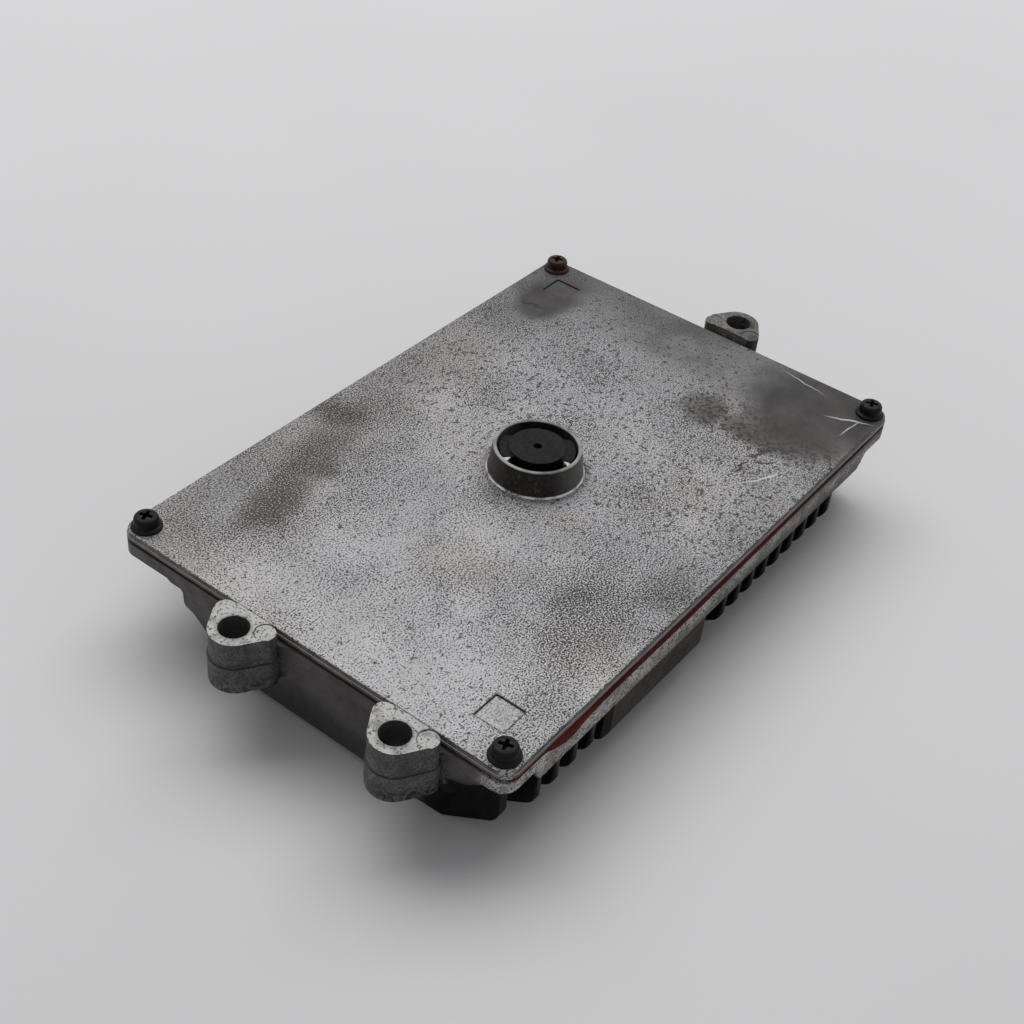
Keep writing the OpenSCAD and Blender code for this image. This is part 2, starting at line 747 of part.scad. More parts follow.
// Cap with a flat disc, two wings and a hollow stem that snaps through the cover
module vent_cap() {
    cap_z = collar_h - cap_drop;
    wing_d = collar_bore_d - 1;
    wing_w = cap_d * 0.62;
    wing_drop = 0.7;
    barb = 0.5;
    barb_h = 1.6;
    barb_gap = 0.05;
    color("#1b1b1d") seated() at_vent() difference() {
        union() {
            translate([0, 0, ring_seal_d]) cylinder(d = cap_d, h = cap_z - ring_seal_d);
            intersection() {
                translate([0, 0, ring_seal_d]) cylinder(d = wing_d, h = cap_z - ring_seal_d - wing_drop);
                rotate([0, 0, vent_turn]) translate([-wing_d / 2, -wing_w / 2, 0])
                    cube([wing_d, wing_w, cap_z]);
            }
            translate([0, 0, -cover_t - barb_h / 2])
                cylinder(d = stem_d, h = cover_t + barb_h / 2 + ring_seal_d + eps);
            translate([0, 0, -cover_t - barb_h])
                cylinder(d1 = stem_d - barb, d2 = vent_hole_d + 2 * barb, h = barb_h - barb_gap);
        }
        translate([0, 0, -cover_t - barb_h - eps])
            cylinder(d = stem_bore, h = cover_t + barb_h + eps + stem_head);
        translate([0, 0, -cover_t]) cylinder(d = breather_d, h = cover_t + cap_z + eps);
    }
}

// Breathing membrane at the head of the stem's bore
module vent_membrane() {
    membrane_t = 0.3;
    membrane_gap = 0.05;
    color("#e6e6e2") seated() at_vent() translate([0, 0, stem_head - membrane_t])
        cylinder(d = stem_bore - 2 * membrane_gap, h = membrane_t);
}

// Ring seal round the stem, under the cap
module vent_seal() {
    ring_gap = 0.1;
    color("#2a2a2c") seated() at_vent() translate([0, 0, ring_seal_d / 2]) rotate_extrude()
        translate([vent_hole_d / 2 + ring_seal_d / 2 + ring_gap, 0]) circle(d = ring_seal_d);
}

// Moulded header: a plate that closes the tub, a roof under the cover and three open sockets
module connector_header() {
    color("#232426") seated() difference() {
        union() {
            block([-header_l / 2, header_l / 2], [plate_y0, plate_y1], [floor_t, parting_h]);
            block([-header_l / 2, header_l / 2], [plate_y0, y_b - roof_back], [roof_z, parting_h]);
            along_y(plate_y0, mouth_y) rounded_rect(
                [-shroud_l / 2, shroud_l / 2], [socket_z - socket_wall, roof_z + eps], 1.2);
            for (side = [-1, 1])
                block([side * lug_x - lug_w / 2, side * lug_x + lug_w / 2],
                      [plate_y0 - lug_y, plate_y0 + eps], [board_z - lug_h, board_z]);
        }
        for (i = [0 : 2]) {
            along_y(socket_floor_y, mouth_y + eps) rounded_rect(
                [socket_x[i] - socket_w[i] / 2, socket_x[i] + socket_w[i] / 2],
                [socket_z, socket_z + socket_h], 1);
            potting_space(i);
        }
        for (side = [-1, 1])
            translate([side * lug_x, lug_mid_y, board_z - lug_h - eps])
                cylinder(d = lug_screw_d + 2 * screw_clear, h = lug_h + 2 * eps);
    }
}

// Window behind a socket that the potting fills
module potting_space(i) {
    block([socket_x[i] - socket_w[i] / 2 + potting_rim, socket_x[i] + socket_w[i] / 2 - potting_rim],
          [plate_y0 - eps, socket_floor_y + eps],
          [socket_z + potting_rim, socket_z + socket_h - potting_rim]);
}

module header_potting() {
    color("#3a3a38") seated() for (i = [0 : 2]) difference() {
        intersection() {
            potting_space(i);
            block([-header_l / 2, header_l / 2], [plate_y0, socket_floor_y], [0, parting_h]);
        }
        pin_group(i);
    }
}

// Rows of L-shaped pins that run through the potting and up through the board
module pin_group(i) {
    for (row = [0, 1])
        for (k = [0 : socket_pins[i] - 1])
            translate([pin_x(i, k), 0, 0])
                along_x(-pin_t / 2, pin_t / 2) polygon([
                    [row_y[row] - pin_t / 2, row_z[row] - pin_t / 2],
                    [socket_floor_y + pin_reach, row_z[row] - pin_t / 2],
                    [socket_floor_y + pin_reach, row_z[row] + pin_t / 2],
                    [row_y[row] + pin_t / 2, row_z[row] + pin_t / 2],
                    [row_y[row] + pin_t / 2, board_top + pin_tail],
                    [row_y[row] - pin_t / 2, board_top + pin_tail]
                ]);
}

module header_pins_a() {
    color("#c9b26a") seated() pin_group(0);
}

module header_pins_b() {
    color("#c9b26a") seated() pin_group(1);
}

module header_pins_c() {
    color("#c9b26a") seated() pin_group(2);
}

// A pan-head screw that stands on z = 0 with its shank below
module pan_screw(d, shank_l, pan_d, pan_h) {
    rotate_extrude() polygon(rounded([
        [0, -shank_l], [d / 2 - 0.3, -shank_l], [d / 2, 0.4 - shank_l], [d / 2, 0],
        [pan_d / 2, 0], [pan_d / 2, pan_h], [0, pan_h]
    ], [0, 0, 0, 0, 0, 0.7, 0], 4));
}

module header_screws() {
    color("#8d8f92") seated() for (side = [-1, 1])
        translate([side * lug_x, lug_mid_y, board_top])
            pan_screw(lug_screw_d, board_t + lug_h - hole_floor, lug_head_d, lug_head_h);
}

module circuit_board() {
    color("#2c5a34") seated() difference() {
        block([-board_x, board_x], [board_front, board_back], [board_z, board_top]);
        for (p = posts)
            translate([p.x, p.y, board_z - eps])
                cylinder(d = board_screw_d + 2 * board_hole_gap, h = board_t + 2 * eps);
        for (side = [-1, 1])
            translate([side * lug_x, lug_mid_y, board_z - eps])
                cylinder(d = lug_screw_d + 2 * board_hole_gap, h = board_t + 2 * eps);
        for (i = [0 : 2])
            for (row = [0, 1])
                for (k = [0 : socket_pins[i] - 1])
                    translate([pin_x(i, k), row_y[row], board_z - eps])
                        cylinder(d = pin_hole_d, h = board_t + 2 * eps, $fn = 24);
    }
}

module board_screws() {
    color("#8d8f92") seated() for (p = posts)
        translate([p.x, p.y, board_top])
            pan_screw(board_screw_d, board_screw_l, board_head_d, board_head_h);
}

// Row of bent leads along +X at the +Y side of a package whose middle is the origin
module lead_row(count, pitch, side, h) {
    lead_t = 0.2;
    lead_w = pitch * 0.45;
    for (k = [0 : count - 1])
        translate([(k - (count - 1) / 2) * pitch, 0, 0]) along_x(-lead_w / 2, lead_w / 2) polygon([
            [side / 2 - 0.1, h / 2], [side / 2 + 0.7, h / 2], [side / 2 + 0.9, lead_t],
            [side / 2 + 1.8, lead_t], [side / 2 + 1.8, 0], [side / 2 + 0.7, 0],
            [side / 2 + 0.5, h / 2 - lead_t], [side / 2 - 0.1, h / 2 - lead_t]
        ]);
}

// Moulded package on z = 0 with leads on the sides that are listed
module leaded_chip(size, h, count, pitch, sides) {
    translate([0, 0, 0.15]) linear_extrude(h - 0.15)
        rounded_rect([-size[0] / 2, size[0] / 2], [-size[1] / 2, size[1] / 2], 0.5);
    for (a = sides)
        rotate([0, 0, a]) lead_row(count, pitch, (a % 180 == 0) ? size[1] : size[0], h);
}

module microcontroller() {
    color("#2b2b2d") seated() translate([processor_at.x, processor_at.y, board_top])
        leaded_chip([processor_side, processor_side], processor_h, processor_leads,
                    processor_side / (processor_leads + 2), [0, 90, 180, 270]);
}

module memory_chip() {
    color("#2b2b2d") seated() translate([memory_at.x, memory_at.y, board_top])
        leaded_chip(memory_size, memory_h, 6, 1.2, [0, 180]);
}

module pressure_sensor() {
    color("#3b3b3d") seated() translate([sensor_at.x, sensor_at.y, board_top]) difference() {
        union() {
            linear_extrude(sensor_h) rounded_rect(
                [-sensor_side / 2, sensor_side / 2], [-sensor_side / 2, sensor_side / 2], 0.6);
            cylinder(d = sensor_port_d, h = sensor_port_h);
        }
        translate([0, 0, sensor_h / 2]) cylinder(d = sensor_port_d / 2, h = sensor_port_h);
    }
}

// Packages under the board, drawn standing on z = 0 and turned over onto its underside
module under_board(x, y) {
    translate([x, y, board_z]) mirror([0, 0, 1]) children();
}

module power_drivers() {
    color("#2b2b2d") seated() for (x = driver_x)
        under_board(x, power_y) leaded_chip(driver_size, power_h, 7, 1.27, [0]);
}

module output_transistors() {
    color("#2b2b2d") seated() for (x = transistor_x)
        under_board(x, power_y) leaded_chip(transistor_size, power_h, 2, transistor_leads, [0]);
}

module thermal_pads() {
    color("#9fb4c4") seated() for (x = concat(driver_x, transistor_x))
        translate([x, power_y, shelf_z]) linear_extrude(thermal_t)
            rounded_rect([-pad_side / 2, pad_side / 2], [-pad_side / 2, pad_side / 2], 0.5);
}

module supply_regulator() {
    color("#2b2b2d") seated() under_board(regulator_at.x, regulator_at.y)
        leaded_chip(regulator_size, regulator_h, 5, 1.7, [0]);
}

module smoothing_capacitors() {
    foot_h = 1;
    color("#3c4148") seated() for (x = capacitor_x) under_board(x, capacitor_y) {
        linear_extrude(foot_h) rounded_rect(
            [-capacitor_d / 2, capacitor_d / 2], [-capacitor_d / 2, capacitor_d / 2], 1.5);
        rotate_extrude() polygon(rounded([
            [0, 0], [capacitor_d / 2 - 0.3, 0], [capacitor_d / 2 - 0.3, capacitor_h], [0, capacitor_h]
        ], [0, 0, 0.8, 0], 4));
    }
}

module power_inductors() {
    half = inductor_side / 2;
    color("#4a4a4c") seated() for (p = inductor_at) under_board(p.x, p.y) difference() {
        linear_extrude(inductor_h) rounded_rect([-half, half], [-half, half], half / 2);
        translate([0, 0, inductor_h - eps]) difference() {
            cylinder(r = half - 1, h = 2 * eps);
            translate([0, 0, -eps]) cylinder(r = half - 1.5, h = 4 * eps);
        }
    }
}

module clock_crystal() {
    color("#b9babc") seated() under_board(crystal_at.x, crystal_at.y) {
        can_in = 0.5;
        half = crystal_size / 2;
        linear_extrude(can_in) rounded_rect([-half.x, half.x], [-half.y, half.y], half.y - 0.1);
        linear_extrude(crystal_h) rounded_rect(
            [can_in - half.x, half.x - can_in], [can_in - half.y, half.y - can_in], half.y - can_in - 0.1);
    }
}

module protection_diodes() {
    color("#29292b") seated() for (k = [0 : diode_n - 1])
        under_board(diode_at.x + k * diode_pitch, diode_at.y)
            leaded_chip(diode_size, power_h, 1, diode_size[0], [0, 180]);
}

// A grid of small blocks that starts at a place on the board's face
module chip_grid(at, columns, rows, pitch, size) {
    for (c = [0 : columns - 1])
        for (r = [0 : rows - 1])
            translate([at.x + c * pitch.x - size.x / 2, at.y + r * pitch.y - size.y / 2, board_top])
                cube(size);
}

module chip_capacitors() {
    color("#b08d5f") seated() chip_grid(chip_cap_at, 8, 2, chip_cap_pitch, chip_cap_size);
}

module chip_resistors() {
    color("#38383a") seated() chip_grid(chip_res_at, 9, 2, chip_res_pitch, chip_res_size);
}

housing();
cover();
sealant();
cover_screws();
vent_cap();
vent_membrane();
vent_seal();
connector_header();
header_potting();
header_pins_a();
header_pins_b();
header_pins_c();
header_screws();
circuit_board();
board_screws();
microcontroller();
memory_chip();
pressure_sensor();
power_drivers();
output_transistors();
thermal_pads();
supply_regulator();
smoothing_capacitors();
power_inductors();
clock_crystal();
protection_diodes();
chip_capacitors();
chip_resistors();
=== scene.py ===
"""Looks of the engine control unit: aged castings, red silicone, black screws, vent and connector header."""
import json
import math

import bmesh
import bpy
from mathutils import Matrix, Vector
from mathutils.kdtree import KDTree


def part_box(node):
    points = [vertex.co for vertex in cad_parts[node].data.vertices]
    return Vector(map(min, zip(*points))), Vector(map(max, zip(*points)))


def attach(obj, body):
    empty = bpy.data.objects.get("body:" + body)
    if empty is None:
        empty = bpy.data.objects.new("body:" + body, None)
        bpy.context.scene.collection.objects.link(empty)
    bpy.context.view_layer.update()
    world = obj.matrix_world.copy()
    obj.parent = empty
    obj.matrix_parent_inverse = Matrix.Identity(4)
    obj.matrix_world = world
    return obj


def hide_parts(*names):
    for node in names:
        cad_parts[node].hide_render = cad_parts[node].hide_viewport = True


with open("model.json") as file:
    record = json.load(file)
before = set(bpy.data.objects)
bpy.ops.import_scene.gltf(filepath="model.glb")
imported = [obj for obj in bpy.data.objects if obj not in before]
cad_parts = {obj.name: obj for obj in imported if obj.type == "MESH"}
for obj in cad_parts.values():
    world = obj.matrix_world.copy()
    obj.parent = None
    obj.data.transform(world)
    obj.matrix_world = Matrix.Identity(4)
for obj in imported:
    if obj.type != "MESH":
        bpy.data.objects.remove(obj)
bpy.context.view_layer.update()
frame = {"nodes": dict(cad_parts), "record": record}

MM = 0.001
BODY = "root"

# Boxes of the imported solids
cover_low, cover_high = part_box("cover")
vent_low, vent_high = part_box("vent_cap")
screw_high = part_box("cover_screws")[1]

# Sizes and levels that repeat those of the part's source
SCREW_HEAD_H = 3.4 * MM
SCREW_WASHER_R = 3.7 * MM
BAND_Z = 17.8 * MM
BAY_ENDS_X = (-46.3 * MM, -5.4 * MM)
EAR_LINE_Z = 22.6 * MM
EAR_LOW_Z = 15.4 * MM
COLLAR_R = 12.3 * MM
COLLAR_BORE_R = 10.1 * MM
CAP_R = 7.1 * MM
EJECTOR_OUT, EJECTOR_ASIDE = 3.35 * MM, 6 * MM

# Levels and edges of the castings, and the middles of the vent and of the cast squares
TOP_Z = screw_high.z - SCREW_HEAD_H
COVER_MID = Vector((0, (cover_low.y + cover_high.y) / 2, TOP_Z))
SIDE_Y = cover_low.y
END_X = cover_high.x
HALF_W = (cover_high.y - cover_low.y) / 2
SEAM_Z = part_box("sealant")[0].z
VENT = (vent_low + vent_high) / 2
MARK_X = END_X - 12.9 * MM
MARK_Y = HALF_W - 12.2 * MM
COLLAR_H = cover_high.z - TOP_Z

# Middles of the ears' bores, and of the ejector rings beside them
ear_mount = {mount["name"]: mount for mount in frame["record"]["mounts"]}
pair_x, pair_y = ear_mount["ear_pair"]["pos_m"][:2]
pair_gap = ear_mount["ear_pair"]["dims"]["spacing_y_mm"] * MM / 2
EAR_BORE_R = ear_mount["ear_pair"]["dims"]["hole_r_mm"] * MM
ear_spots = [(pair_x, pair_y - pair_gap), (pair_x, pair_y + pair_gap), ear_mount["single_ear"]["pos_m"][:2]]
ejector_spots = [(math.copysign(END_X + EJECTOR_OUT, x), y + side * EJECTOR_ASIDE)
                 for x, y in ear_spots for side in (-1, 1)]

# Stage: table and lamp in metres, levels of the world's light and of the backdrop
TABLE_SIZE = 6
LAMP_SIZE = (1.9, 0.9)
LAMP_ENERGY = 13.3
LAMP_PLACE = Vector((0.42, 0.42, 1.14))
FILL_LEVEL, BACKDROP_LEVEL = 0.33, 0.8

# Camera solved from the photograph: its axes, and its place in millimetres from the cover's middle
CAMERA_LENS, CAMERA_SENSOR = 54.451, 36
CAMERA_RIGHT = (0.605579, -0.791497, 0.082501)
CAMERA_UP = (0.470005, 0.439397, 0.765523)
CAMERA_BACK = (-0.642160, -0.424808, 0.638098)
CAMERA_PLACE = (-255.430, -163.482, 235.645)


def paint(hex_colour):
    """Linear colour of a six-digit sRGB code."""
    parts = [int(hex_colour[i:i + 2], 16) / 255 for i in (0, 2, 4)]
    linear = [c / 12.92 if c <= 0.04045 else ((c + 0.055) / 1.055) ** 2.4 for c in parts]
    return (*linear, 1.0)


class Finish:
    """Nodes of one material, made call by call. Sockets and plain numbers can be mixed freely."""

    def __init__(self, name, colour, roughness=0.5, metallic=0.0):
        self.material = bpy.data.materials.new(name)
        self.material.use_nodes = True
        self.nodes = self.material.node_tree.nodes
        self.links = self.material.node_tree.links
        self.shader = self.nodes["Principled BSDF"]
        self.shader.inputs["Base Color"].default_value = paint(colour)
        self.shader.inputs["Roughness"].default_value = roughness
        self.shader.inputs["Metallic"].default_value = metallic
        self.place = self.nodes.new("ShaderNodeTexCoord").outputs["Object"]

    def feed(self, socket, value):
        if isinstance(value, bpy.types.NodeSocket):
            self.links.new(value, socket)
        else:
            socket.default_value = value

    def noise(self, scale, detail=2.0, roughness=0.5, output="Fac"):
        node = self.nodes.new("ShaderNodeTexNoise")
        self.links.new(self.place, node.inputs["Vector"])
        node.inputs["Scale"].default_value = scale
        node.inputs["Detail"].default_value = detail
        node.inputs["Roughness"].default_value = roughness
        return node.outputs[output]

    def calc(self, operation, a, b=0.0, clamp=False):
        node = self.nodes.new("ShaderNodeMath")
        node.operation = operation
        node.use_clamp = clamp
        self.feed(node.inputs[0], a)
        self.feed(node.inputs[1], b)
        return node.outputs[0]

    def plus(self, a, b):
        return self.calc("ADD", a, b)

    def minus(self, a, b):
        return self.calc("SUBTRACT", a, b)

    def part(self, value, share):
        return self.calc("MULTIPLY", value, share)

    def ease(self, value, low, high, to_low=0.0, to_high=1.0):
        """Smooth step of a value from low to high."""
        node = self.nodes.new("ShaderNodeMapRange")
        node.interpolation_type = "SMOOTHSTEP"
        self.feed(node.inputs["Value"], value)
        self.feed(node.inputs["From Min"], low)
        self.feed(node.inputs["From Max"], high)
        self.feed(node.inputs["To Min"], to_low)
        self.feed(node.inputs["To Max"], to_high)
        return node.outputs["Result"]

    def within(self, value, low, high, soft):
        """1 between two bounds, with soft ends."""
        return self.both(self.ease(value, low - soft, low + soft),
                         self.ease(value, high - soft, high + soft, 1.0, 0.0))

    def both(self, *masks):
        """1 where all the masks are."""
        found = masks[0]
        for mask in masks[1:]:
            found = self.calc("MULTIPLY", found, mask)
        return found

    def most(self, *masks):
        """The highest of the masks."""
        found = masks[0]
        for mask in masks[1:]:
            found = self.calc("MAXIMUM", found, mask)
        return found

    def mix(self, share, a, b, blend="MIX"):
        node = self.nodes.new("ShaderNodeMix")
        node.data_type = "RGBA"
        node.blend_type = blend
        self.feed(node.inputs["Factor"], share)
        for socket, value in ((node.inputs[6], a), (node.inputs[7], b)):
            self.feed(socket, paint(value) if isinstance(value, str) else value)
        return node.outputs[2]

    def dim(self, colour, share, level):
        """The colour times a level, where the share is 1."""
        return self.mix(share, colour, (level, level, level, 1.0), "MULTIPLY")

    def nook(self, spots, radius):
        """Distance outside the nearest of some upright cylinders; negative inside them."""
        nearest = None
        for spot in spots:
            gap = self.nodes.new("ShaderNodeVectorMath")
            gap.operation = "MULTIPLY_ADD"
            self.links.new(self.place, gap.inputs[0])
            gap.inputs[1].default_value = (1, 1, 0)
            gap.inputs[2].default_value = (-spot[0], -spot[1], 0)
            size = self.nodes.new("ShaderNodeVectorMath")
            size.operation = "LENGTH"
            self.links.new(gap.outputs[0], size.inputs[0])
            far = size.outputs["Value"]
            nearest = far if nearest is None else self.calc("MINIMUM", nearest, far)
        return self.minus(nearest, radius)

    def square_line(self, centre, half, width):
        """Mask of a thin square outline, seen from above."""
        spot = self.split(self.place)
        away = [self.calc("ABSOLUTE", self.minus(spot[i], centre[i])) for i in (0, 1)]
        return self.within(self.most(*away), half - width, half + width, width / 2)

    def split(self, vector):
        node = self.nodes.new("ShaderNodeSeparateXYZ")
        self.links.new(vector, node.inputs[0])
        return node.outputs

    def from_middle(self, vector):
        """Lengthwise and crosswise distance from the cover's middle."""
        x, y, _ = self.split(vector)
        return x, self.minus(y, COVER_MID.y)

    def facing(self):
        """The surface's own direction, in the part's frame."""
        return self.split(self.nodes.new("ShaderNodeNewGeometry").outputs["Normal"])

    def warped(self, amount, scale, detail=2.0):
        """Coordinates shifted about by noise, so that edges wander."""
        drift = self.nodes.new("ShaderNodeVectorMath")
        drift.operation = "MULTIPLY_ADD"
        self.links.new(self.noise(scale, detail, output="Color"), drift.inputs[0])
        drift.inputs[1].default_value = (amount, amount, amount)
        self.links.new(self.place, drift.inputs[2])
        back = self.nodes.new("ShaderNodeVectorMath")
        back.operation = "SUBTRACT"
        self.links.new(drift.outputs[0], back.inputs[0])
        back.inputs[1].default_value = (amount / 2, amount / 2, amount / 2)
        return back.outputs[0]

    def patch(self, at, centre, size, turn=0.0, core=0.3):
        """Mask of a soft oval patch on the cover, 1 in its core; millimetres from the cover's middle."""
        node = self.nodes.new("ShaderNodeMapping")
        node.vector_type = "TEXTURE"
        self.links.new(at, node.inputs["Vector"])
        node.inputs["Location"].default_value = (centre[0] * MM, centre[1] * MM + COVER_MID.y, 0)
        node.inputs["Rotation"].default_value = (0, 0, math.radians(turn))
        node.inputs["Scale"].default_value = (size[0] * MM, size[1] * MM, 100)
        reach = self.nodes.new("ShaderNodeVectorMath")
        reach.operation = "LENGTH"
        self.links.new(node.outputs[0], reach.inputs[0])
        return self.ease(reach.outputs["Value"], core, 1.0, 1.0, 0.0)

    def patches(self, at, *rows):
        """Mask of several patches; each row is a strength and then what patch() takes."""
        masks = [(strength, self.patch(at, *row)) for strength, *row in rows]
        return self.most(*[mask if strength == 1 else self.part(mask, strength) for strength, mask in masks])

    def streak(self, at, start, end, width):
        """Mask of a scratch from one point to another, thin at both ends."""
        run = Vector(end) - Vector(start)
        middle = (Vector(start) + Vector(end)) / 2
        turn = math.degrees(math.atan2(run.y, run.x))
        return self.patch(at, middle, (run.length / 2, width), turn, 0.2)

    def streaks(self, at, *rows):
        """Mask of several scratches; each row is a strength and then what streak() takes."""
        masks = [(strength, self.streak(at, *row)) for strength, *row in rows]
        return self.most(*[mask if strength == 1 else self.part(mask, strength) for strength, mask in masks])

    def relief(self, height, depth, strength):
        """Bump from a height between 0 and 1, on top of any relief there is."""
        node = self.nodes.new("ShaderNodeBump")
        node.inputs["Distance"].default_value = depth
        node.inputs["Strength"].default_value = strength
        self.links.new(height, node.inputs["Height"])
        socket = self.shader.inputs["Normal"]
        if socket.is_linked:
            self.links.new(socket.links[0].from_socket, node.inputs["Normal"])
        self.links.new(node.outputs[0], socket)

    def set(self, **sockets):
        names = {"colour": "Base Color", "roughness": "Roughness", "gloss": "Specular IOR Level"}
        for key, value in sockets.items():
            self.feed(self.shader.inputs[names[key]], value)


def cover_alloy(f, wander, roam, blotch):
    """Bare alloy: cloudy, paler in places, darker towards the far end and the long edges."""
    along, across = f.from_middle(wander)
    alloy = f.mix(f.ease(f.noise(30, 3), 0.36, 0.64), "a2a2a4", "adadaf")
    tint = f.plus(f.noise(16, 2), f.part(f.minus(across, along), 1.2))
    alloy = f.mix(f.ease(tint, 0.42, 0.62, 0.0, 0.6), alloy, "aea8a3")
    alloy = f.mix(f.ease(blotch, 0.35, 0.7, 0.0, 0.3), alloy, "8b8987")
    warm = f.patches(wander, (1, (-40, -9), (14, 16)), (1, (-13, -18), (8, 7)))
    alloy = f.mix(f.part(warm, 0.35), alloy, "aa9e93")
    pale = f.most(
        f.patches(roam, (1, (-72, -26), (24, 44)), (1, (-78, 12), (18, 26)),
                  (1, (-52, 14), (26, 16)), (1, (-30, -4), (20, 13))),
        f.patches(f.place, (1, (4, -45), (12, 13)), (1, (-57, -3), (12, 11)),
                  (1, (-50, -19), (8, 7)), (1, (6, 37), (14, 15))),
    )
    alloy = f.mix(f.part(pale, 0.28), alloy, "c6c4c4")
    alloy = f.dim(alloy, f.ease(along, 30 * MM, 86 * MM), 0.4)
    alloy = f.dim(alloy, f.ease(across, 26 * MM, 48 * MM), 0.66)
    near_edge = f.both(f.ease(across, -36 * MM, -52 * MM), f.ease(along, -55 * MM, -30 * MM))
    return f.dim(alloy, near_edge, 0.8), pale


def cover_stains(f, roam):
    """Masks of the stains: dull ones, their dark cores, smooth ones and brown ones."""
    dull = f.patches(
        roam, (1, (-54, 37), (20, 9), 14, 0.3), (1, (-34, 42), (20, 10), 12, 0.3),
        (1, (-18, 49), (9, 13), 0, 0.3), (0.4, (-30, -36), (9, 8), 0, 0.1),
        (0.5, (-18, -49), (10, 9), 0, 0.1), (0.4, (-14, 2), (6, 9), 0, 0.1))
    deep = f.patches(
        roam, (1, (-57, 36), (10, 6), 12, 0.2), (1, (-36, 35), (5, 5), 0, 0.2),
        (1, (-17, 49), (5, 8), 0, 0.2))
    smooth = f.patches(
        roam, (1, (71, -40), (26, 24), 10, 0.45), (1, (64, 44), (19, 12), 0, 0.35),
        (0.3, (80, 10), (9, 26), 0, 0.2))
    brown = f.most(f.patches(roam, (1, (50, -18), (11, 10), 0, 0.2), (1, (54, -40), (11, 20), 0, 0.3)),
                   f.patch(f.place, (50, -35), (8, 21), 0, 0.25))
    return dull, deep, smooth, brown


def cover_pits(f, grain, along, worn, roam, pale, stains):
    """Mask that is 0 in the dark pits and 1 between them; the stains and the worn end change their number."""
    dull, deep, smooth, brown = stains
    dense = f.patches(roam, (1, (-28, -42), (36, 15)), (1, (-55, -30), (14, 11)))
    pitted = f.ease(f.noise(45, 2), 0.32, 0.68, 0.43, 0.49)
    bare = f.most(smooth, f.part(worn, 0.4))
    for mask, change in ((bare, -0.12), (dull, 0.035), (deep, -0.05), (pale, -0.03), (dense, 0.028)):
        pitted = f.plus(pitted, f.part(mask, change))
    fleck = f.ease(f.minus(grain, pitted), -0.03, 0.025)
    coarse = f.part(f.both(f.ease(along, -35 * MM, 15 * MM), f.ease(along, 48 * MM, 72 * MM, 1.0, 0.2)), 0.06)
    coarse = f.plus(coarse, f.part(brown, 0.08))
    pit = f.ease(f.minus(f.noise(950, 3, 0.55), coarse), 0.335, 0.385, 0.1, 1.0)
    return f.calc("MINIMUM", fleck, f.calc("ADD", pit, f.part(smooth, 0.55), clamp=True))


def marked_plate(f, colour):
    """Short dark marks and fine bright scratches on the plate."""
    crawl = f.warped(5 * MM, 240, 3)
    shiver = f.warped(1.6 * MM, 260, 2)
    dark_marks = f.streaks(
        crawl, (1, (58.2, 50), (60.4, 39), 0.9), (1, (31, -39.6), (40, -37.6), 0.8),
        (1, (38, -37), (49, -41.5), 0.9), (1, (39, -39), (43, -45), 0.7))
    colour = f.mix(f.ease(dark_marks, 0.05, 0.6, 0.0, 0.9), colour, "1f1d1b")
    scratches = f.streaks(
        shiver, (0.5, (82.5, -20), (78, -43), 0.35), (1, (69.4, -41.5), (77, -57), 0.42),
        (0.7, (63, -50), (77.5, -52), 0.3), (1, (27, -40.5), (43, -48.7), 0.42))
    return f.mix(f.ease(scratches, 0.0, 0.8, 0.0, 0.75), colour, "cbcbcb")


def cast_squares(f, colour, floor_colour, blotch):
    """The two cast squares: a dark line in their corners around a cleaner floor."""
    squares = [(side * MARK_X, COVER_MID.y + side * MARK_Y) for side in (-1, 1)]
    floors = f.most(*[f.square_line(spot, 1.75 * MM, 1.8 * MM) for spot in squares])
    colour = f.mix(f.part(floors, 0.5), colour, floor_colour)
    outline = f.most(*[f.square_line(spot, 3.9 * MM, 0.2 * MM) for spot in squares])
    return f.mix(f.both(outline, f.ease(blotch, 0.25, 0.5, 0.7, 0.95)), colour, "282523")


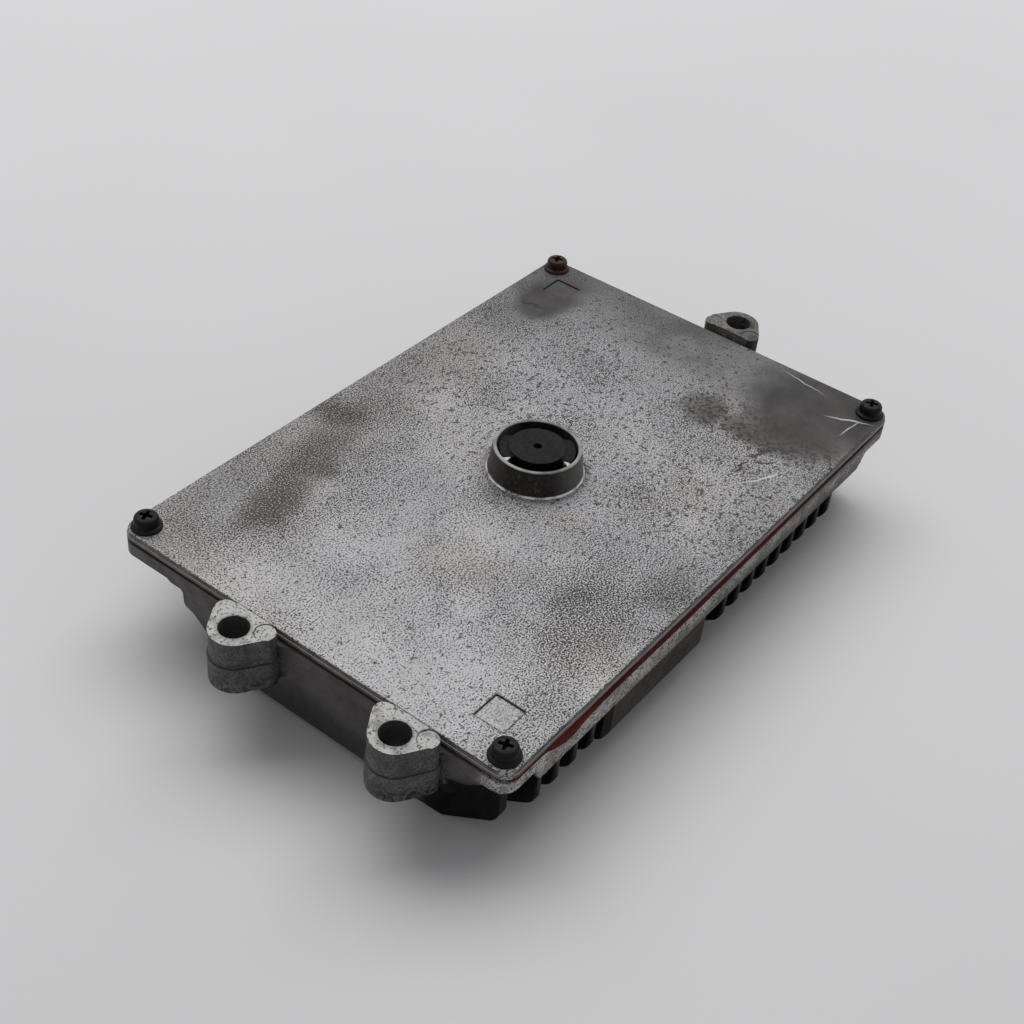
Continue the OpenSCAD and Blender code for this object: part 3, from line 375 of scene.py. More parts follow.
def collar_grime_and_shading(f, colour, height, blotch):
    """The vent collar: dark grime on its wall with painted light and shade by the way it faces, a worn rim, a
    bright ring at its foot as a painted highlight, a darker ring round its foot, a well darkened as painted
    shade and gussets lit as a painted highlight.
    """
    reach = f.nook([VENT], 0.0)
    out_x, out_y, up = f.facing()
    wall = f.both(f.ease(reach, COLLAR_R - 0.1 * MM, COLLAR_R + 0.1 * MM, 1.0, 0.0),
                  f.ease(height, 0.3 * MM, 0.55 * MM))
    # Dark wall colour: grime, with painted shade on the collar's wall.
    collar_grime_and_shade = f.mix(f.ease(f.noise(420, 3), 0.35, 0.65), "161210", "25201d")
    collar_grime_and_shade = f.mix(f.ease(f.noise(1300, 2), 0.55, 0.68), collar_grime_and_shade, "46413c")
    # Painted light and shade by facing: lighter where the wall faces +X and -Y, browner where it faces -X and
    # +Y.
    lit = f.minus(f.part(out_x, 0.6), f.part(out_y, 0.8))
    collar_grime_and_shade = f.mix(f.ease(lit, 0.25, 0.95, 0.0, 0.8), collar_grime_and_shade, "6f6d6b")
    collar_grime_and_shade = f.mix(f.ease(lit, -0.5, -1.0, 0.0, 0.5), collar_grime_and_shade, "57504b")
    colour = f.mix(wall, colour, collar_grime_and_shade)
    rim = f.both(f.ease(height, COLLAR_H - 0.3 * MM, COLLAR_H - 0.15 * MM),
                 f.ease(reach, COLLAR_BORE_R - 0.3 * MM, COLLAR_BORE_R - 0.1 * MM))
    colour = f.mix(rim, colour, f.mix(f.ease(blotch, 0.3, 0.7), "5c5a58", "a09f9d"))
    halo = f.both(f.ease(reach, COLLAR_R, COLLAR_R + 2.2 * MM, 1.0, 0.0),
                  f.ease(height, 0.05 * MM, 0.1 * MM, 1.0, 0.0))
    colour = f.dim(colour, halo, 0.6)
    # Painted highlight: a bright broken ring on the slanted flank at the collar's foot.
    foot_ring = f.both(f.within(reach, COLLAR_R - 0.35 * MM, COLLAR_R, 0.08 * MM),
                       f.ease(height, 0.4 * MM, 0.6 * MM, 1.0, 0.0))
    colour = f.mix(f.both(foot_ring, f.ease(f.noise(330, 2), 0.36, 0.56, 0.1, 1.0)), colour, "dcdcdc")
    # Painted shade: the floor of the well inside the collar is darkened.
    well = f.both(f.ease(reach, COLLAR_BORE_R, COLLAR_BORE_R + 0.1 * MM, 1.0, 0.0),
                  f.ease(height, 0.1 * MM, 0.2 * MM, 1.0, 0.0))
    colour = f.mix(well, colour, "1c1a19")
    # Painted highlight: the upward faces of the gussets inside the collar are painted near white.
    gusset = f.both(f.ease(reach, COLLAR_BORE_R - 0.1 * MM, COLLAR_BORE_R + 0.05 * MM, 1.0, 0.0),
                    f.ease(reach, 7.5 * MM, 7.7 * MM), f.ease(up, 0.6, 0.8), f.ease(height, 3 * MM, 4 * MM))
    return f.mix(gusset, colour, "c4c4c2")


def plate_edges_grime_and_shading(f, colour, height, grain, blotch):
    """Edges of the plate: grime under the top edge, dark lines of grime and painted shade in the step's
    corner and along the seam gap, and the ledge's upward face paler as a painted highlight.
    """
    x, y, _ = f.split(f.place)
    past_x = f.minus(f.calc("ABSOLUTE", x), END_X - 0.5 * MM)
    past_y = f.minus(f.calc("ABSOLUTE", f.minus(y, COVER_MID.y)), HALF_W - 0.5 * MM)
    edge = f.both(f.ease(f.most(past_x, past_y), 0.0, 0.05 * MM),
                  f.ease(height, -0.3 * MM, -0.15 * MM, 1.0, 0.0))
    dirt = f.mix(f.ease(f.noise(260, 3), 0.35, 0.65), "5c5754", "827e7b")
    dirt = f.mix(f.ease(grain, 0.42, 0.52, 0.45, 1.0), "3f3b38", dirt)
    colour = f.mix(edge, colour, dirt)
    # Dark lines in the step's corner and over the seam gap: grime and painted shade.
    lines = f.most(f.within(height, -0.62 * MM, -0.36 * MM, 0.08 * MM),
                   f.within(height, -1.38 * MM, -1.12 * MM, 0.08 * MM),
                   f.ease(height, -1.95 * MM, -1.75 * MM, 1.0, 0.0))
    colour = f.mix(f.both(edge, lines, f.ease(blotch, 0.2, 0.5, 0.35, 0.75)), colour, "302c2a")
    # Painted highlight: the upward face of the ledge is paler.
    ledge = f.both(edge, f.ease(f.facing()[2], 0.7, 0.9))
    return f.mix(ledge, colour, f.mix(f.ease(blotch, 0.3, 0.6), "817b77", "a8a29e"))


def cover_finish():
    """Aged cast cover: pale alloy with dense dark pitting, smooth dull stains, a few scratches and painted
    glints on its grain.
    """
    f = Finish("aged_cover_casting", "8f9092", 0.5, 0.2)
    wander = f.warped(9 * MM, 70, 3)
    roam = f.warped(20 * MM, 55, 4)
    along, across = f.from_middle(wander)
    height = f.minus(f.split(f.place)[2], TOP_Z)
    blotch = f.noise(120, 3, 0.6)
    grain = f.noise(2500, 2, 0.55)
    worn = f.ease(along, 52 * MM, 74 * MM)
    alloy, pale = cover_alloy(f, wander, roam, blotch)
    dull, deep, smooth, brown = stains = cover_stains(f, roam)
    speck = cover_pits(f, grain, along, worn, roam, pale, stains)

    colour = f.mix(f.part(dull, 0.85), alloy, "57514d")
    mottle = f.both(worn, f.ease(f.noise(70, 4, 0.6), 0.4, 0.62, 0.1, 0.6),
                    f.ease(across, 0.0, 30 * MM, 1.0, 0.15))
    colour = f.mix(mottle, colour, "423e3c")
    colour = f.mix(f.part(brown, 0.85), colour, "453b33")
    colour = f.mix(f.part(deep, 0.75), colour, "332e2b")
    soot = f.mix(f.ease(f.noise(75, 4, 0.6), 0.38, 0.62), "1f1b1a", "352f2d")
    colour = f.mix(f.part(smooth, 0.9), colour, soot)
    colour = f.mix(speck, f.mix(smooth, "242120", "282423"), colour)
    # Painted highlights: bright glints on the grain, kept off the stains and the worn end.
    painted_glint_room = f.ease(f.most(smooth, worn, brown), 0.0, 0.8, 1.0, 0.0)
    colour = f.mix(f.both(f.ease(grain, 0.55, 0.66, 0.0, 0.6), painted_glint_room), colour, "cacacc")
    colour = marked_plate(f, colour)
    colour = cast_squares(f, colour, f.mix(smooth, alloy, "4a4644"), blotch)
    colour = collar_grime_and_shading(f, colour, height, blotch)
    colour = plate_edges_grime_and_shading(f, colour, height, grain, blotch)

    f.set(colour=colour, roughness=f.ease(blotch, 0.3, 0.7, 0.44, 0.6), gloss=0.3)
    f.relief(speck, 0.08 * MM, 0.5)
    f.relief(f.noise(320, 3), 0.1 * MM, 0.3)
    return f.material


def tub_walls(f, cloud, blotch):
    """Walls and fins of the tub, with painted shade low on the walls, on the fin flanks and on the bay, and
    the mask of what stays in the dark.
    """
    x, y, z = f.split(f.place)
    out_y = f.facing()[1]
    wall = f.mix(f.ease(cloud, 0.35, 0.65), "454240", "565351")
    wall = f.mix(f.ease(blotch, 0.3, 0.6, 0.5, 0.0), wall, "3b3836")
    # Painted shade: the walls darken towards the bottom.
    wall = f.mix(f.ease(z, 6 * MM, 15 * MM, 0.75, 0.0), wall, "1f1d1c")
    shade = f.both(f.ease(y, SIDE_Y + 18 * MM, SIDE_Y + 26 * MM, 1.0, 0.0),
                   f.ease(z, 16 * MM, 20.5 * MM, 0.92, 0.0), f.ease(x, -60 * MM, -50 * MM, 1.0, 0.0))
    wall = f.mix(shade, wall, "0c0b0b")
    # Painted shade: fin flanks and the gaps between them near black, with grime; the outward noses keep a mid
    # tone, darker low down.
    fins = f.both(f.ease(y, SIDE_Y + 20 * MM, SIDE_Y + 24 * MM, 1.0, 0.0),
                  f.ease(z, BAND_Z - 0.3 * MM, BAND_Z + 0.1 * MM, 1.0, 0.0))
    flank = f.mix(f.ease(blotch, 0.35, 0.65), "080707", "110f0f")
    nose = f.both(f.ease(out_y, -0.75, -0.95), f.ease(y, SIDE_Y + 1.2 * MM, SIDE_Y + 2 * MM, 1.0, 0.0))
    flank = f.mix(f.both(nose, f.ease(z, 11 * MM, 16 * MM, 0.2, 1.0)), flank, "3d3a38")
    colour = f.mix(fins, wall, flank)
    # Painted shade: the bay's outward face is darkened.
    bay = f.both(fins, f.within(x, *BAY_ENDS_X, 0.2 * MM), f.ease(out_y, -0.6, -0.8))
    colour = f.mix(bay, colour, f.mix(f.ease(cloud, 0.35, 0.65), "302e2a", "3a3733"))
    return colour, f.most(fins, shade)


def flange_band(f, colour, grain, blotch):
    """Flange and band on the finned side: pale and speckled, the paleness partly painted light from above,
    with darker blots and a dirty seam.
    """
    x, y, z = f.split(f.place)
    band = f.both(f.ease(y, SIDE_Y + 0.6 * MM, SIDE_Y + 1.2 * MM, 1.0, 0.0),
                  f.ease(z, BAND_Z - 0.1 * MM, BAND_Z + 0.2 * MM))
    turn = f.both(f.ease(y, SIDE_Y + 3 * MM, SIDE_Y + 10 * MM, 1.0, 0.0),
                  f.ease(x, -END_X + 1.5 * MM, -END_X + 2 * MM, 1.0, 0.0),
                  f.ease(z, BAND_Z + 1 * MM, BAND_Z + 3 * MM))
    # The pale band is partly painted light: its face catches light from above.
    pale = f.mix(f.ease(blotch, 0.34, 0.62), "8f8b88", "c2bfbd")
    low = f.both(f.ease(z, 18 * MM, 22 * MM, 1.0, 0.0), f.ease(x, -50 * MM, 10 * MM, 0.3, 0.85))
    pale = f.mix(low, pale, "3f3c3a")
    pale = f.dim(pale, f.ease(x, -50 * MM, 60 * MM), 0.6)
    pale = f.mix(f.ease(grain, 0.41, 0.49), "37332f", pale)
    colour = f.mix(f.most(band, turn), colour, pale)
    seam = f.most(f.ease(z, SEAM_Z - 0.35 * MM, SEAM_Z - 0.1 * MM),
                  f.both(f.ease(z, SEAM_Z - 2.8 * MM, SEAM_Z - 0.3 * MM, 0.0, 0.9),
                         f.ease(x, 15 * MM, 50 * MM)))
    return f.mix(f.both(seam, f.ease(f.facing()[2], 0.3, 0.6, 1.0, 0.0)), colour, "3a3532")


def ear_wear_and_shading(f, colour, grain, blotch):
    """Ears: tops with wear, paler than the sides as painted light, dark pits and ejector rings; grey sides
    with a parting line; bores darkened as painted shade; one rusty ear.
    """
    x, y, z = f.split(f.place)
    up = f.facing()[2]
    from_end = f.minus(f.calc("ABSOLUTE", x), END_X)
    ear = f.ease(from_end, 0.5 * MM, 0.9 * MM)
    side = f.mix(f.ease(blotch, 0.35, 0.65), "4d4b49", "636160")
    side = f.mix(f.ease(grain, 0.41, 0.51, 0.75, 0.0), side, "252220")
    rot = f.both(f.ease(z, 15.5 * MM, 21.0 * MM, 1.0, 0.25), f.ease(f.noise(900, 3, 0.6), 0.48, 0.57))
    side = f.mix(rot, side, "24211f")
    line = f.within(z, EAR_LINE_Z - 0.12 * MM, EAR_LINE_Z + 0.08 * MM, 0.06 * MM)
    side = f.mix(f.both(line, f.ease(blotch, 0.25, 0.5, 0.5, 0.9)), side, "211e1c")
    colour = f.mix(ear, colour, side)

    # Ear tops: wear, and paler than the sides as painted light from above.
    top = f.both(ear, f.ease(up, 0.75, 0.92), f.ease(z, TOP_Z + 0.8 * MM, TOP_Z + 1.2 * MM))
    worn = f.mix(f.ease(blotch, 0.28, 0.5), "878583", "b4b3b1")
    worn = f.mix(f.ease(f.noise(1500, 2, 0.6), 0.37, 0.45), "4a4643", worn)
    rings = f.within(f.nook(ejector_spots, 2.5 * MM), -0.12 * MM, 0.1 * MM, 0.06 * MM)
    worn = f.mix(f.both(rings, f.ease(blotch, 0.3, 0.6, 0.9, 0.35)), worn, "4f4c49")
    worn = f.mix(f.ease(f.nook(ear_spots, EAR_BORE_R), 0.1 * MM, 0.8 * MM, 0.5, 0.0), worn, "5f5c5a")
    colour = f.mix(top, colour, worn)

    far_ear = f.both(ear, f.ease(x, 0.0, 10 * MM))
    far_y = ear_spots[-1][1]
    rust = f.mix(f.ease(f.noise(500, 3), 0.35, 0.6), "28221d", "4c4640")
    rust = f.mix(f.ease(f.noise(1300, 2), 0.52, 0.62), rust, "6d6862")
    rust = f.dim(rust, f.ease(y, far_y + 2 * MM, far_y - 4 * MM), 0.3)
    colour = f.mix(f.both(far_ear, f.ease(blotch, 0.3, 0.6, 0.97, 0.8)), colour, rust)
    # Painted shade: the walls of the bores are darkened.
    bore = f.both(f.within(from_end, 3.3 * MM, 10.2 * MM, 0.05 * MM),
                  f.ease(f.calc("ABSOLUTE", up), 0.2, 0.4, 1.0, 0.0),
                  f.ease(f.nook(ear_spots, EAR_BORE_R + 0.2 * MM), 0.0, 0.05 * MM, 1.0, 0.0))
    return f.mix(bore, colour, "4b4a49")


def tub_finish():
    """Dull cast tub: ear tops pale from wear and painted light, a speckled flange partly pale as painted
    light, fins, bay and lower walls darkened as painted shade, one rusty ear.
    """
    f = Finish("dull_tub_casting", "6e6d6c", 0.55, 0.15)
    blotch = f.noise(240, 3, 0.6)
    grain = f.noise(2500, 2, 0.55)
    colour, hidden = tub_walls(f, f.noise(60, 3), blotch)
    colour = flange_band(f, colour, grain, blotch)
    colour = ear_wear_and_shading(f, colour, grain, blotch)
    f.set(colour=colour, roughness=f.ease(blotch, 0.3, 0.7, 0.62, 0.46),
          gloss=f.ease(hidden, 0.2, 0.8, 0.38, 0.08))
    f.relief(f.ease(grain, 0.40, 0.48), 0.08 * MM, 0.5)
    f.relief(f.noise(300, 3), 0.12 * MM, 0.45)
    return f.material


def silicone_finish():
    """Dark red silicone that turns dirty brown towards the far end."""
    f = Finish("red_silicone", "47110e", 0.65)
    x = f.split(f.place)[0]
    fine = f.noise(700, 2)
    red = f.mix(f.ease(f.noise(60, 3), 0.3, 0.7), "47110e", "380d0b")
    red = f.mix(f.ease(x, -58 * MM, -50 * MM, 1.0, 0.0), red, "521510")
    f.set(colour=f.mix(f.ease(x, 20 * MM, 55 * MM, 0.0, 0.85), red, "28211f"),
          roughness=f.ease(fine, 0.3, 0.7, 0.59, 0.73), gloss=0.06)
    f.relief(fine, 0.06 * MM, 0.5)
    return f.material


def screw_finish():
    """Black coated screws; the one in the far corner on the connector side is rusty."""
    f = Finish("black_screw_steel", "060606", 0.4)
    x, y, _ = f.split(f.place)
    fine = f.noise(900, 2)
    black = f.mix(f.ease(f.noise(75, 3), 0.3, 0.7), "060606", "0b0a0a")
    far_corner = f.both(f.ease(x, 60 * MM, 70 * MM), f.ease(y, 30 * MM, 40 * MM))
    rusty = f.both(far_corner, f.ease(f.noise(700, 3), 0.4, 0.6, 0.3, 0.9))
    f.set(colour=f.mix(rusty, black, "3b2018"), roughness=f.ease(fine, 0.3, 0.7, 0.34, 0.48), gloss=0.14)
    f.relief(fine, 0.03 * MM, 0.5)
    return f.material


def cap_finish():
    """Black vent cap: a plain disc between wings painted near black as shade, where they sit low in the
    collar's well.
    """
    f = Finish("vent_plastic", "0c0c0d", 0.6)
    fine = f.noise(1100, 2)
    # Painted shade: the wings outside the disc, low in the collar, are painted near black.
    soot = f.ease(f.nook([VENT], CAP_R), -0.1 * MM, 0.1 * MM)
    disc = f.mix(f.ease(f.noise(150, 3), 0.3, 0.7), "080809", "0c0c0d")
    f.set(colour=f.mix(soot, disc, "020202"), roughness=f.ease(fine, 0.3, 0.7, 0.52, 0.68), gloss=0.13)
    f.relief(fine, 0.02 * MM, 0.5)
    return f.material


def plain_finish(name, colour, dark, roughness, metallic, grain, depth):
    """A moulded or drawn surface with slight mottling and a fine grain, its depth in millimetres."""
    f = Finish(name, colour, roughness, metallic)
    mottle = f.noise(grain / 12, 3)
    fine = f.noise(grain, 2)
    f.set(colour=f.mix(f.ease(mottle, 0.3, 0.7), colour, dark),
          roughness=f.ease(fine, 0.3, 0.7, roughness - 0.06, roughness + 0.08))
    f.relief(fine, depth * MM, 0.5)
    return f.material


def clean_mesh(work, name):
    mesh = bpy.data.meshes.new(name)
    work.to_mesh(mesh)
    work.free()
    return mesh


def merged_work(node_name):
    """A CAD node's mesh with its loose triangles joined into clean faces."""
    work = bmesh.new()
    work.from_mesh(frame["nodes"][node_name].data)
    bmesh.ops.remove_doubles(work, verts=work.verts, dist=2e-6)
    bmesh.ops.dissolve_limit(work, angle_limit=math.radians(0.5), verts=work.verts, edges=work.edges)
    return work


def new_piece(name, mesh):
    piece = bpy.data.objects.new(name, mesh)
    bpy.context.scene.collection.objects.link(piece)
    return piece


def settled(piece):
    """The piece with its modifiers made part of its mesh."""
    graph = bpy.context.evaluated_depsgraph_get()
    mesh = bpy.data.meshes.new_from_object(piece.evaluated_get(graph))
    piece.modifiers.clear()
    piece.data = mesh
    mesh.name = piece.name
    return piece


def roomy_edges(work, limit, need):
    """Sharp edges whose two faces both leave room for a rounding of this size."""
    sharp = [e for e in work.edges if len(e.link_faces) == 2 and e.calc_face_angle(0.0) > limit]
    marks = []
    for edge in sharp:
        a, b = (v.co for v in edge.verts)
        steps = max(1, math.ceil(edge.calc_length() / need))
        marks += [a.lerp(b, i / steps) for i in range(steps + 1)]
    tree = KDTree(len(marks))
    for i, mark in enumerate(marks):
        tree.insert(mark, i)
    tree.balance()
    kept = []
    for edge in sharp:
        a, b = (v.co for v in edge.verts)
        spots = (0.5,) if edge.calc_length() < 12 * need else (0.25, 0.5, 0.75)
        clear = True
        for loop in edge.link_loops:
            along = (loop.link_loop_next.vert.co - loop.vert.co).normalized()
            inward = loop.face.normal.cross(along)
            clear = clear and all(tree.find(a.lerp(b, t) + inward * 2 * need)[2] > need for t in spots)
        if clear:
            kept.append(edge)
    return kept


def round_off(work, width, need, segments, limit=34):
    """Rounds the roomy edges, one connected run of edges at a time."""
    tag = work.edges.layers.int.new("run")
    waiting = dict.fromkeys(roomy_edges(work, math.radians(limit), need))
    runs = 0
    while waiting:
        runs += 1
        rim = [waiting.popitem()[0]]
        while rim:
            edge = rim.pop()
            edge[tag] = runs
            for vert in edge.verts:
                for other in vert.link_edges:
                    if other in waiting:
                        del waiting[other]
                        rim.append(other)
    for number in range(1, runs + 1):
        run = [e for e in work.edges if e[tag] == number]
        for edge in run:
            edge[tag] = 0
        bmesh.ops.bevel(work, geom=run, offset=width, offset_type="OFFSET", segments=segments, profile=0.5,
                        affect="EDGES", clamp_overlap=True)
    work.edges.layers.int.remove(work.edges.layers.int["run"])


def round_ear_feet(work):
    """Rounds the lower outer edges of the ears more than the rest of the casting."""
    rounding, past_end, past_bore, level = 1.3 * MM, 1.5 * MM, 4.5 * MM, 0.02 * MM
    feet = []
    for edge in work.edges:
        a, b = (v.co for v in edge.verts)
        low = max(abs(a.z - EAR_LOW_Z), abs(b.z - EAR_LOW_Z)) < level
        past = min(abs(a.x), abs(b.x)) - END_X > past_end
        middle = (a + b) / 2
        clear = min(math.dist(middle.xy, spot) for spot in ear_spots) > past_bore
        if low and past and clear and len(edge.link_faces) == 2:
            feet.append(edge)
    bmesh.ops.bevel(work, geom=feet, offset=rounding, offset_type="OFFSET", segments=5, profile=0.5,
                    affect="EDGES", clamp_overlap=True)


def rounded_casting(node_name, piece_name, passes, material):
    """A CAD node with its sharp edges rounded, as a casting or moulding has them."""
    work = merged_work(node_name)
    if node_name == "housing":
        round_ear_feet(work)
    for width, need, segments in passes:
        round_off(work, width * MM, need * MM, segments)
    piece = new_piece(piece_name, clean_mesh(work, piece_name))
    return finished(piece, material)


def finished(piece, material, limit=36):
    """Smooth shading that keeps flat faces flat, and the piece's material."""
    mesh = piece.data
    mesh.polygons.foreach_set("use_smooth", [True] * len(mesh.polygons))
    mesh.set_sharp_from_angle(angle=math.radians(limit))
    flat = piece.modifiers.new("flat_faces", "WEIGHTED_NORMAL")
    flat.keep_sharp = True
    settled(piece)
    dress(piece, material)
    return piece


def dress(piece, material):
    piece.data.materials.clear()
    piece.data.materials.append(material)


def place(piece, slot_name, *nodes):
    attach(piece, BODY)
    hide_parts(*nodes)


class Recipe:
    """Geometry nodes of one piece, with named inputs."""

    def __init__(self, name):
        self.name = name
        self.group = bpy.data.node_groups.new(name, "GeometryNodeTree")
        self.group.interface.new_socket("Geometry", in_out="INPUT", socket_type="NodeSocketGeometry")
        self.group.interface.new_socket("Geometry", in_out="OUTPUT", socket_type="NodeSocketGeometry")
        self.enter = self.group.nodes.new("NodeGroupInput")
        self.leave = self.group.nodes.new("NodeGroupOutput")
        self.values = {}

    def knob(self, name, kind, value):
        socket = self.group.interface.new_socket(name, in_out="INPUT", socket_type="NodeSocket" + kind)
        self.values[socket.identifier] = value
        return self.enter.outputs[name]

    def node(self, kind, inputs, **settings):
        node = self.group.nodes.new(kind)
        for key, value in settings.items():
            setattr(node, key, value)
        for key, value in inputs.items():
            if isinstance(value, bpy.types.NodeSocket):
                self.group.links.new(value, node.inputs[key])
            else:
                node.inputs[key].default_value = value
        return node

    def calc(self, operation, a, b=0.0):
        return self.node("ShaderNodeMath", {0: a, 1: b}, operation=operation).outputs[0]

    def made(self, start, result, material):
        """The piece that the recipe makes, as a plain mesh."""
        loose = self.node("GeometryNodeRealizeInstances", {"Geometry": result}).outputs[0]
        last = self.node("GeometryNodeSetMaterial", {"Geometry": loose, "Material": material}).outputs[0]
        self.group.links.new(last, self.leave.inputs[0])
        piece = new_piece(self.name, start)
        modifier = piece.modifiers.new(self.name, "NODES")
        modifier.node_group = self.group
        for identifier, value in self.values.items():
            modifier[identifier] = value
        return settled(piece)


def spread(name, proto, places, material):
    """Copies of one form at the given places."""
    start = bpy.data.meshes.new(name)
    start.from_pydata(places, [], [])
    recipe = Recipe(name)
    form = recipe.knob("Form", "Object", proto)
    shape = recipe.node("GeometryNodeObjectInfo", {"Object": form}).outputs["Geometry"]
    points = recipe.node("GeometryNodeMeshToPoints", {"Mesh": recipe.enter.outputs["Geometry"]}).outputs[0]
    copies = recipe.node("GeometryNodeInstanceOnPoints", {"Points": points, "Instance": shape}).outputs[0]
    piece = recipe.made(start, copies, material)
    bpy.data.objects.remove(proto)
    return piece


def lathe(name, outline, steps=48):
    """A turned form from (radius, height) points in millimetres, from the foot of the axis to its head."""
    work = bmesh.new()
    rings = []
    for r, h in outline:
        if r == 0:
            rings.append([work.verts.new((0, 0, h * MM))])
        else:
            turns = [2 * math.pi * k / steps for k in range(steps)]
            ring = [(r * MM * math.cos(t), r * MM * math.sin(t), h * MM) for t in turns]
            rings.append([work.verts.new(spot) for spot in ring])
    for low, high in zip(rings, rings[1:]):
        for k in range(steps):
            n = (k + 1) % steps
            corners = [low[k % len(low)], low[n % len(low)], high[n % len(high)], high[k % len(high)]]
            work.faces.new(list(dict.fromkeys(corners)))
    bmesh.ops.recalc_face_normals(work, faces=work.faces)
    return new_piece(name, clean_mesh(work, name))


def wedge(work, corners_low, corners_high):
    """A closed block between two four-cornered faces."""
    low = [work.verts.new(Vector(c) * MM) for c in corners_low]
    high = [work.verts.new(Vector(c) * MM) for c in corners_high]
    work.faces.new(low[::-1])
    work.faces.new(high)
    for k in range(4):
        n = (k + 1) % 4
        work.faces.new([low[k], low[n], high[n], high[k]])


def screw_form():
    """Cover screw: shank, washer face, domed head and a cross recess with tapered wings."""
    dome = [(2.95 - 0.85 * (1 - math.cos(a)), 2.15 + 1.15 * math.sin(a))
            for a in (math.radians(d) for d in (0, 18, 36, 54, 72))]
    body = lathe("screw", [
        (0, -5.2), (1.6, -5.2), (2.0, -4.8), (2.0, 0), (3.55, 0.0), (3.68, 0.12), (3.62, 0.55), (3.3, 0.82),
        (3.02, 0.95), (2.97, 1.2), *dome, (1.2, 3.38), (0, 3.4)
    ])
    work = bmesh.new()
    corners = ((-1, -1), (1, -1), (1, 1), (-1, 1))
    wing_foot, wing_mouth = (0.95, 0.28, 1.7), (1.9, 0.52, 3.9)
    for turn in (20, 110):
        spin = Matrix.Rotation(math.radians(turn), 3, "Z")
        faces = [[spin @ Vector((sx * half_x, sy * half_y, level)) for sx, sy in corners]
                 for half_x, half_y, level in (wing_foot, wing_mouth)]
        wedge(work, *faces)
    cutter = new_piece("cross_recess", clean_mesh(work, "cross_recess"))
    cut = body.modifiers.new("recess", "BOOLEAN")
    cut.operation = "DIFFERENCE"
    cut.solver = "EXACT"
    cut.use_self = True
    cut.object = cutter
    settled(body)
    bpy.data.objects.remove(cutter)
    mesh = body.data
    mesh.polygons.foreach_set("use_smooth", [True] * len(mesh.polygons))
    mesh.set_sharp_from_angle(angle=math.radians(32))
    return body


def silicone_bead(material):
    """Squeezed-out silicone along the finned side: a wavy bead that swells into a smear near one end."""
    start_x, end_x = -73, 79
    # Lower edge of the silicone along the side, in millimetres: place along X, height
    lower = [(-73, 25.0), (-70.5, 24.2), (-67.5, 23.0), (-64.5, 21.9), (-62, 21.5), (-59.5, 21.9),
             (-57, 22.6), (-54, 23.0), (-50, 23.4), (-40, 23.5), (-20, 23.4), (0, 23.7), (20, 24.0),
             (40, 24.6), (60, 24.8), (79, 25.1)]
    low_z, span = 21.0, 4.5
    recipe = Recipe("silicone_bead")
    length = recipe.knob("Length", "Float", (end_x - start_x) * MM)
    upper = recipe.knob("Upper Edge", "Float", SEAM_Z + 1.0 * MM)
    thick = recipe.knob("Thickness", "Float", 0.42 * MM)
    waver = recipe.knob("Waver", "Float", 0.55 * MM)
    steps_along, steps_round = 420, 17
    grid = recipe.node("GeometryNodeMeshGrid", {"Size X": 1.0, "Size Y": 1.0, "Vertices X": steps_along,
                                                "Vertices Y": steps_round})
    spot = recipe.node("ShaderNodeSeparateXYZ", {0: recipe.node("GeometryNodeInputPosition", {}).outputs[0]})
    u = recipe.calc("ADD", spot.outputs[0], 0.5)
    turn = recipe.calc("MULTIPLY", recipe.calc("ADD", spot.outputs[1], 0.5), 2 * math.pi)
    x = recipe.calc("ADD", recipe.calc("MULTIPLY", u, length), start_x * MM)
    curve = recipe.node("ShaderNodeFloatCurve", {"Value": u})
    track = curve.mapping.curves[0]
    for k, (px, pz) in enumerate(lower):
        at = ((px - start_x) / (end_x - start_x), (pz - low_z) / span)
        if k in (0, len(lower) - 1):
            track.points[0 if k == 0 else -1].location = at
        else:
            track.points.new(*at)
    curve.mapping.update()
    low = recipe.calc("ADD", recipe.calc("MULTIPLY", curve.outputs[0], span * MM), low_z * MM)
    along = recipe.node("ShaderNodeCombineXYZ", {0: x})
    ripple = recipe.node("ShaderNodeTexNoise", {"Vector": along.outputs[0], "Scale": 320.0, "Detail": 3.0})
    drift = recipe.calc("MULTIPLY", recipe.calc("SUBTRACT", ripple.outputs[0], 0.5), waver)
    low = recipe.calc("ADD", low, drift)
    start_taper = recipe.calc("MULTIPLY", u, 40.0)
    end_taper = recipe.calc("MULTIPLY", recipe.calc("SUBTRACT", 1.0, u), 14.0)
    ends = recipe.calc("MINIMUM", start_taper, end_taper)
    ends = recipe.calc("MINIMUM", recipe.calc("POWER", recipe.calc("MAXIMUM", ends, 0.0), 0.5), 1.0)
    half = recipe.calc("MULTIPLY", recipe.calc("MULTIPLY", recipe.calc("SUBTRACT", upper, low), 0.5), ends)
    middle = recipe.calc("MULTIPLY", recipe.calc("ADD", upper, low), 0.5)
    z = recipe.calc("ADD", middle, recipe.calc("MULTIPLY", half, recipe.calc("SINE", turn)))
    swell = recipe.calc("MULTIPLY", recipe.calc("MULTIPLY", thick, ends), recipe.calc("COSINE", turn))
    y = recipe.calc("SUBTRACT", SIDE_Y + 0.12 * MM, swell)
    where = recipe.node("ShaderNodeCombineXYZ", {0: x, 1: y, 2: z}).outputs[0]
    bent = recipe.node("GeometryNodeSetPosition", {"Geometry": grid.outputs[0], "Position": where}).outputs[0]
    closed = recipe.node("GeometryNodeMergeByDistance", {"Geometry": bent, "Distance": 0.004 * MM}).outputs[0]
    smooth = recipe.node("GeometryNodeSetShadeSmooth", {"Geometry": closed}).outputs[0]
    return recipe.made(bpy.data.meshes.new("silicone_start"), smooth, material)


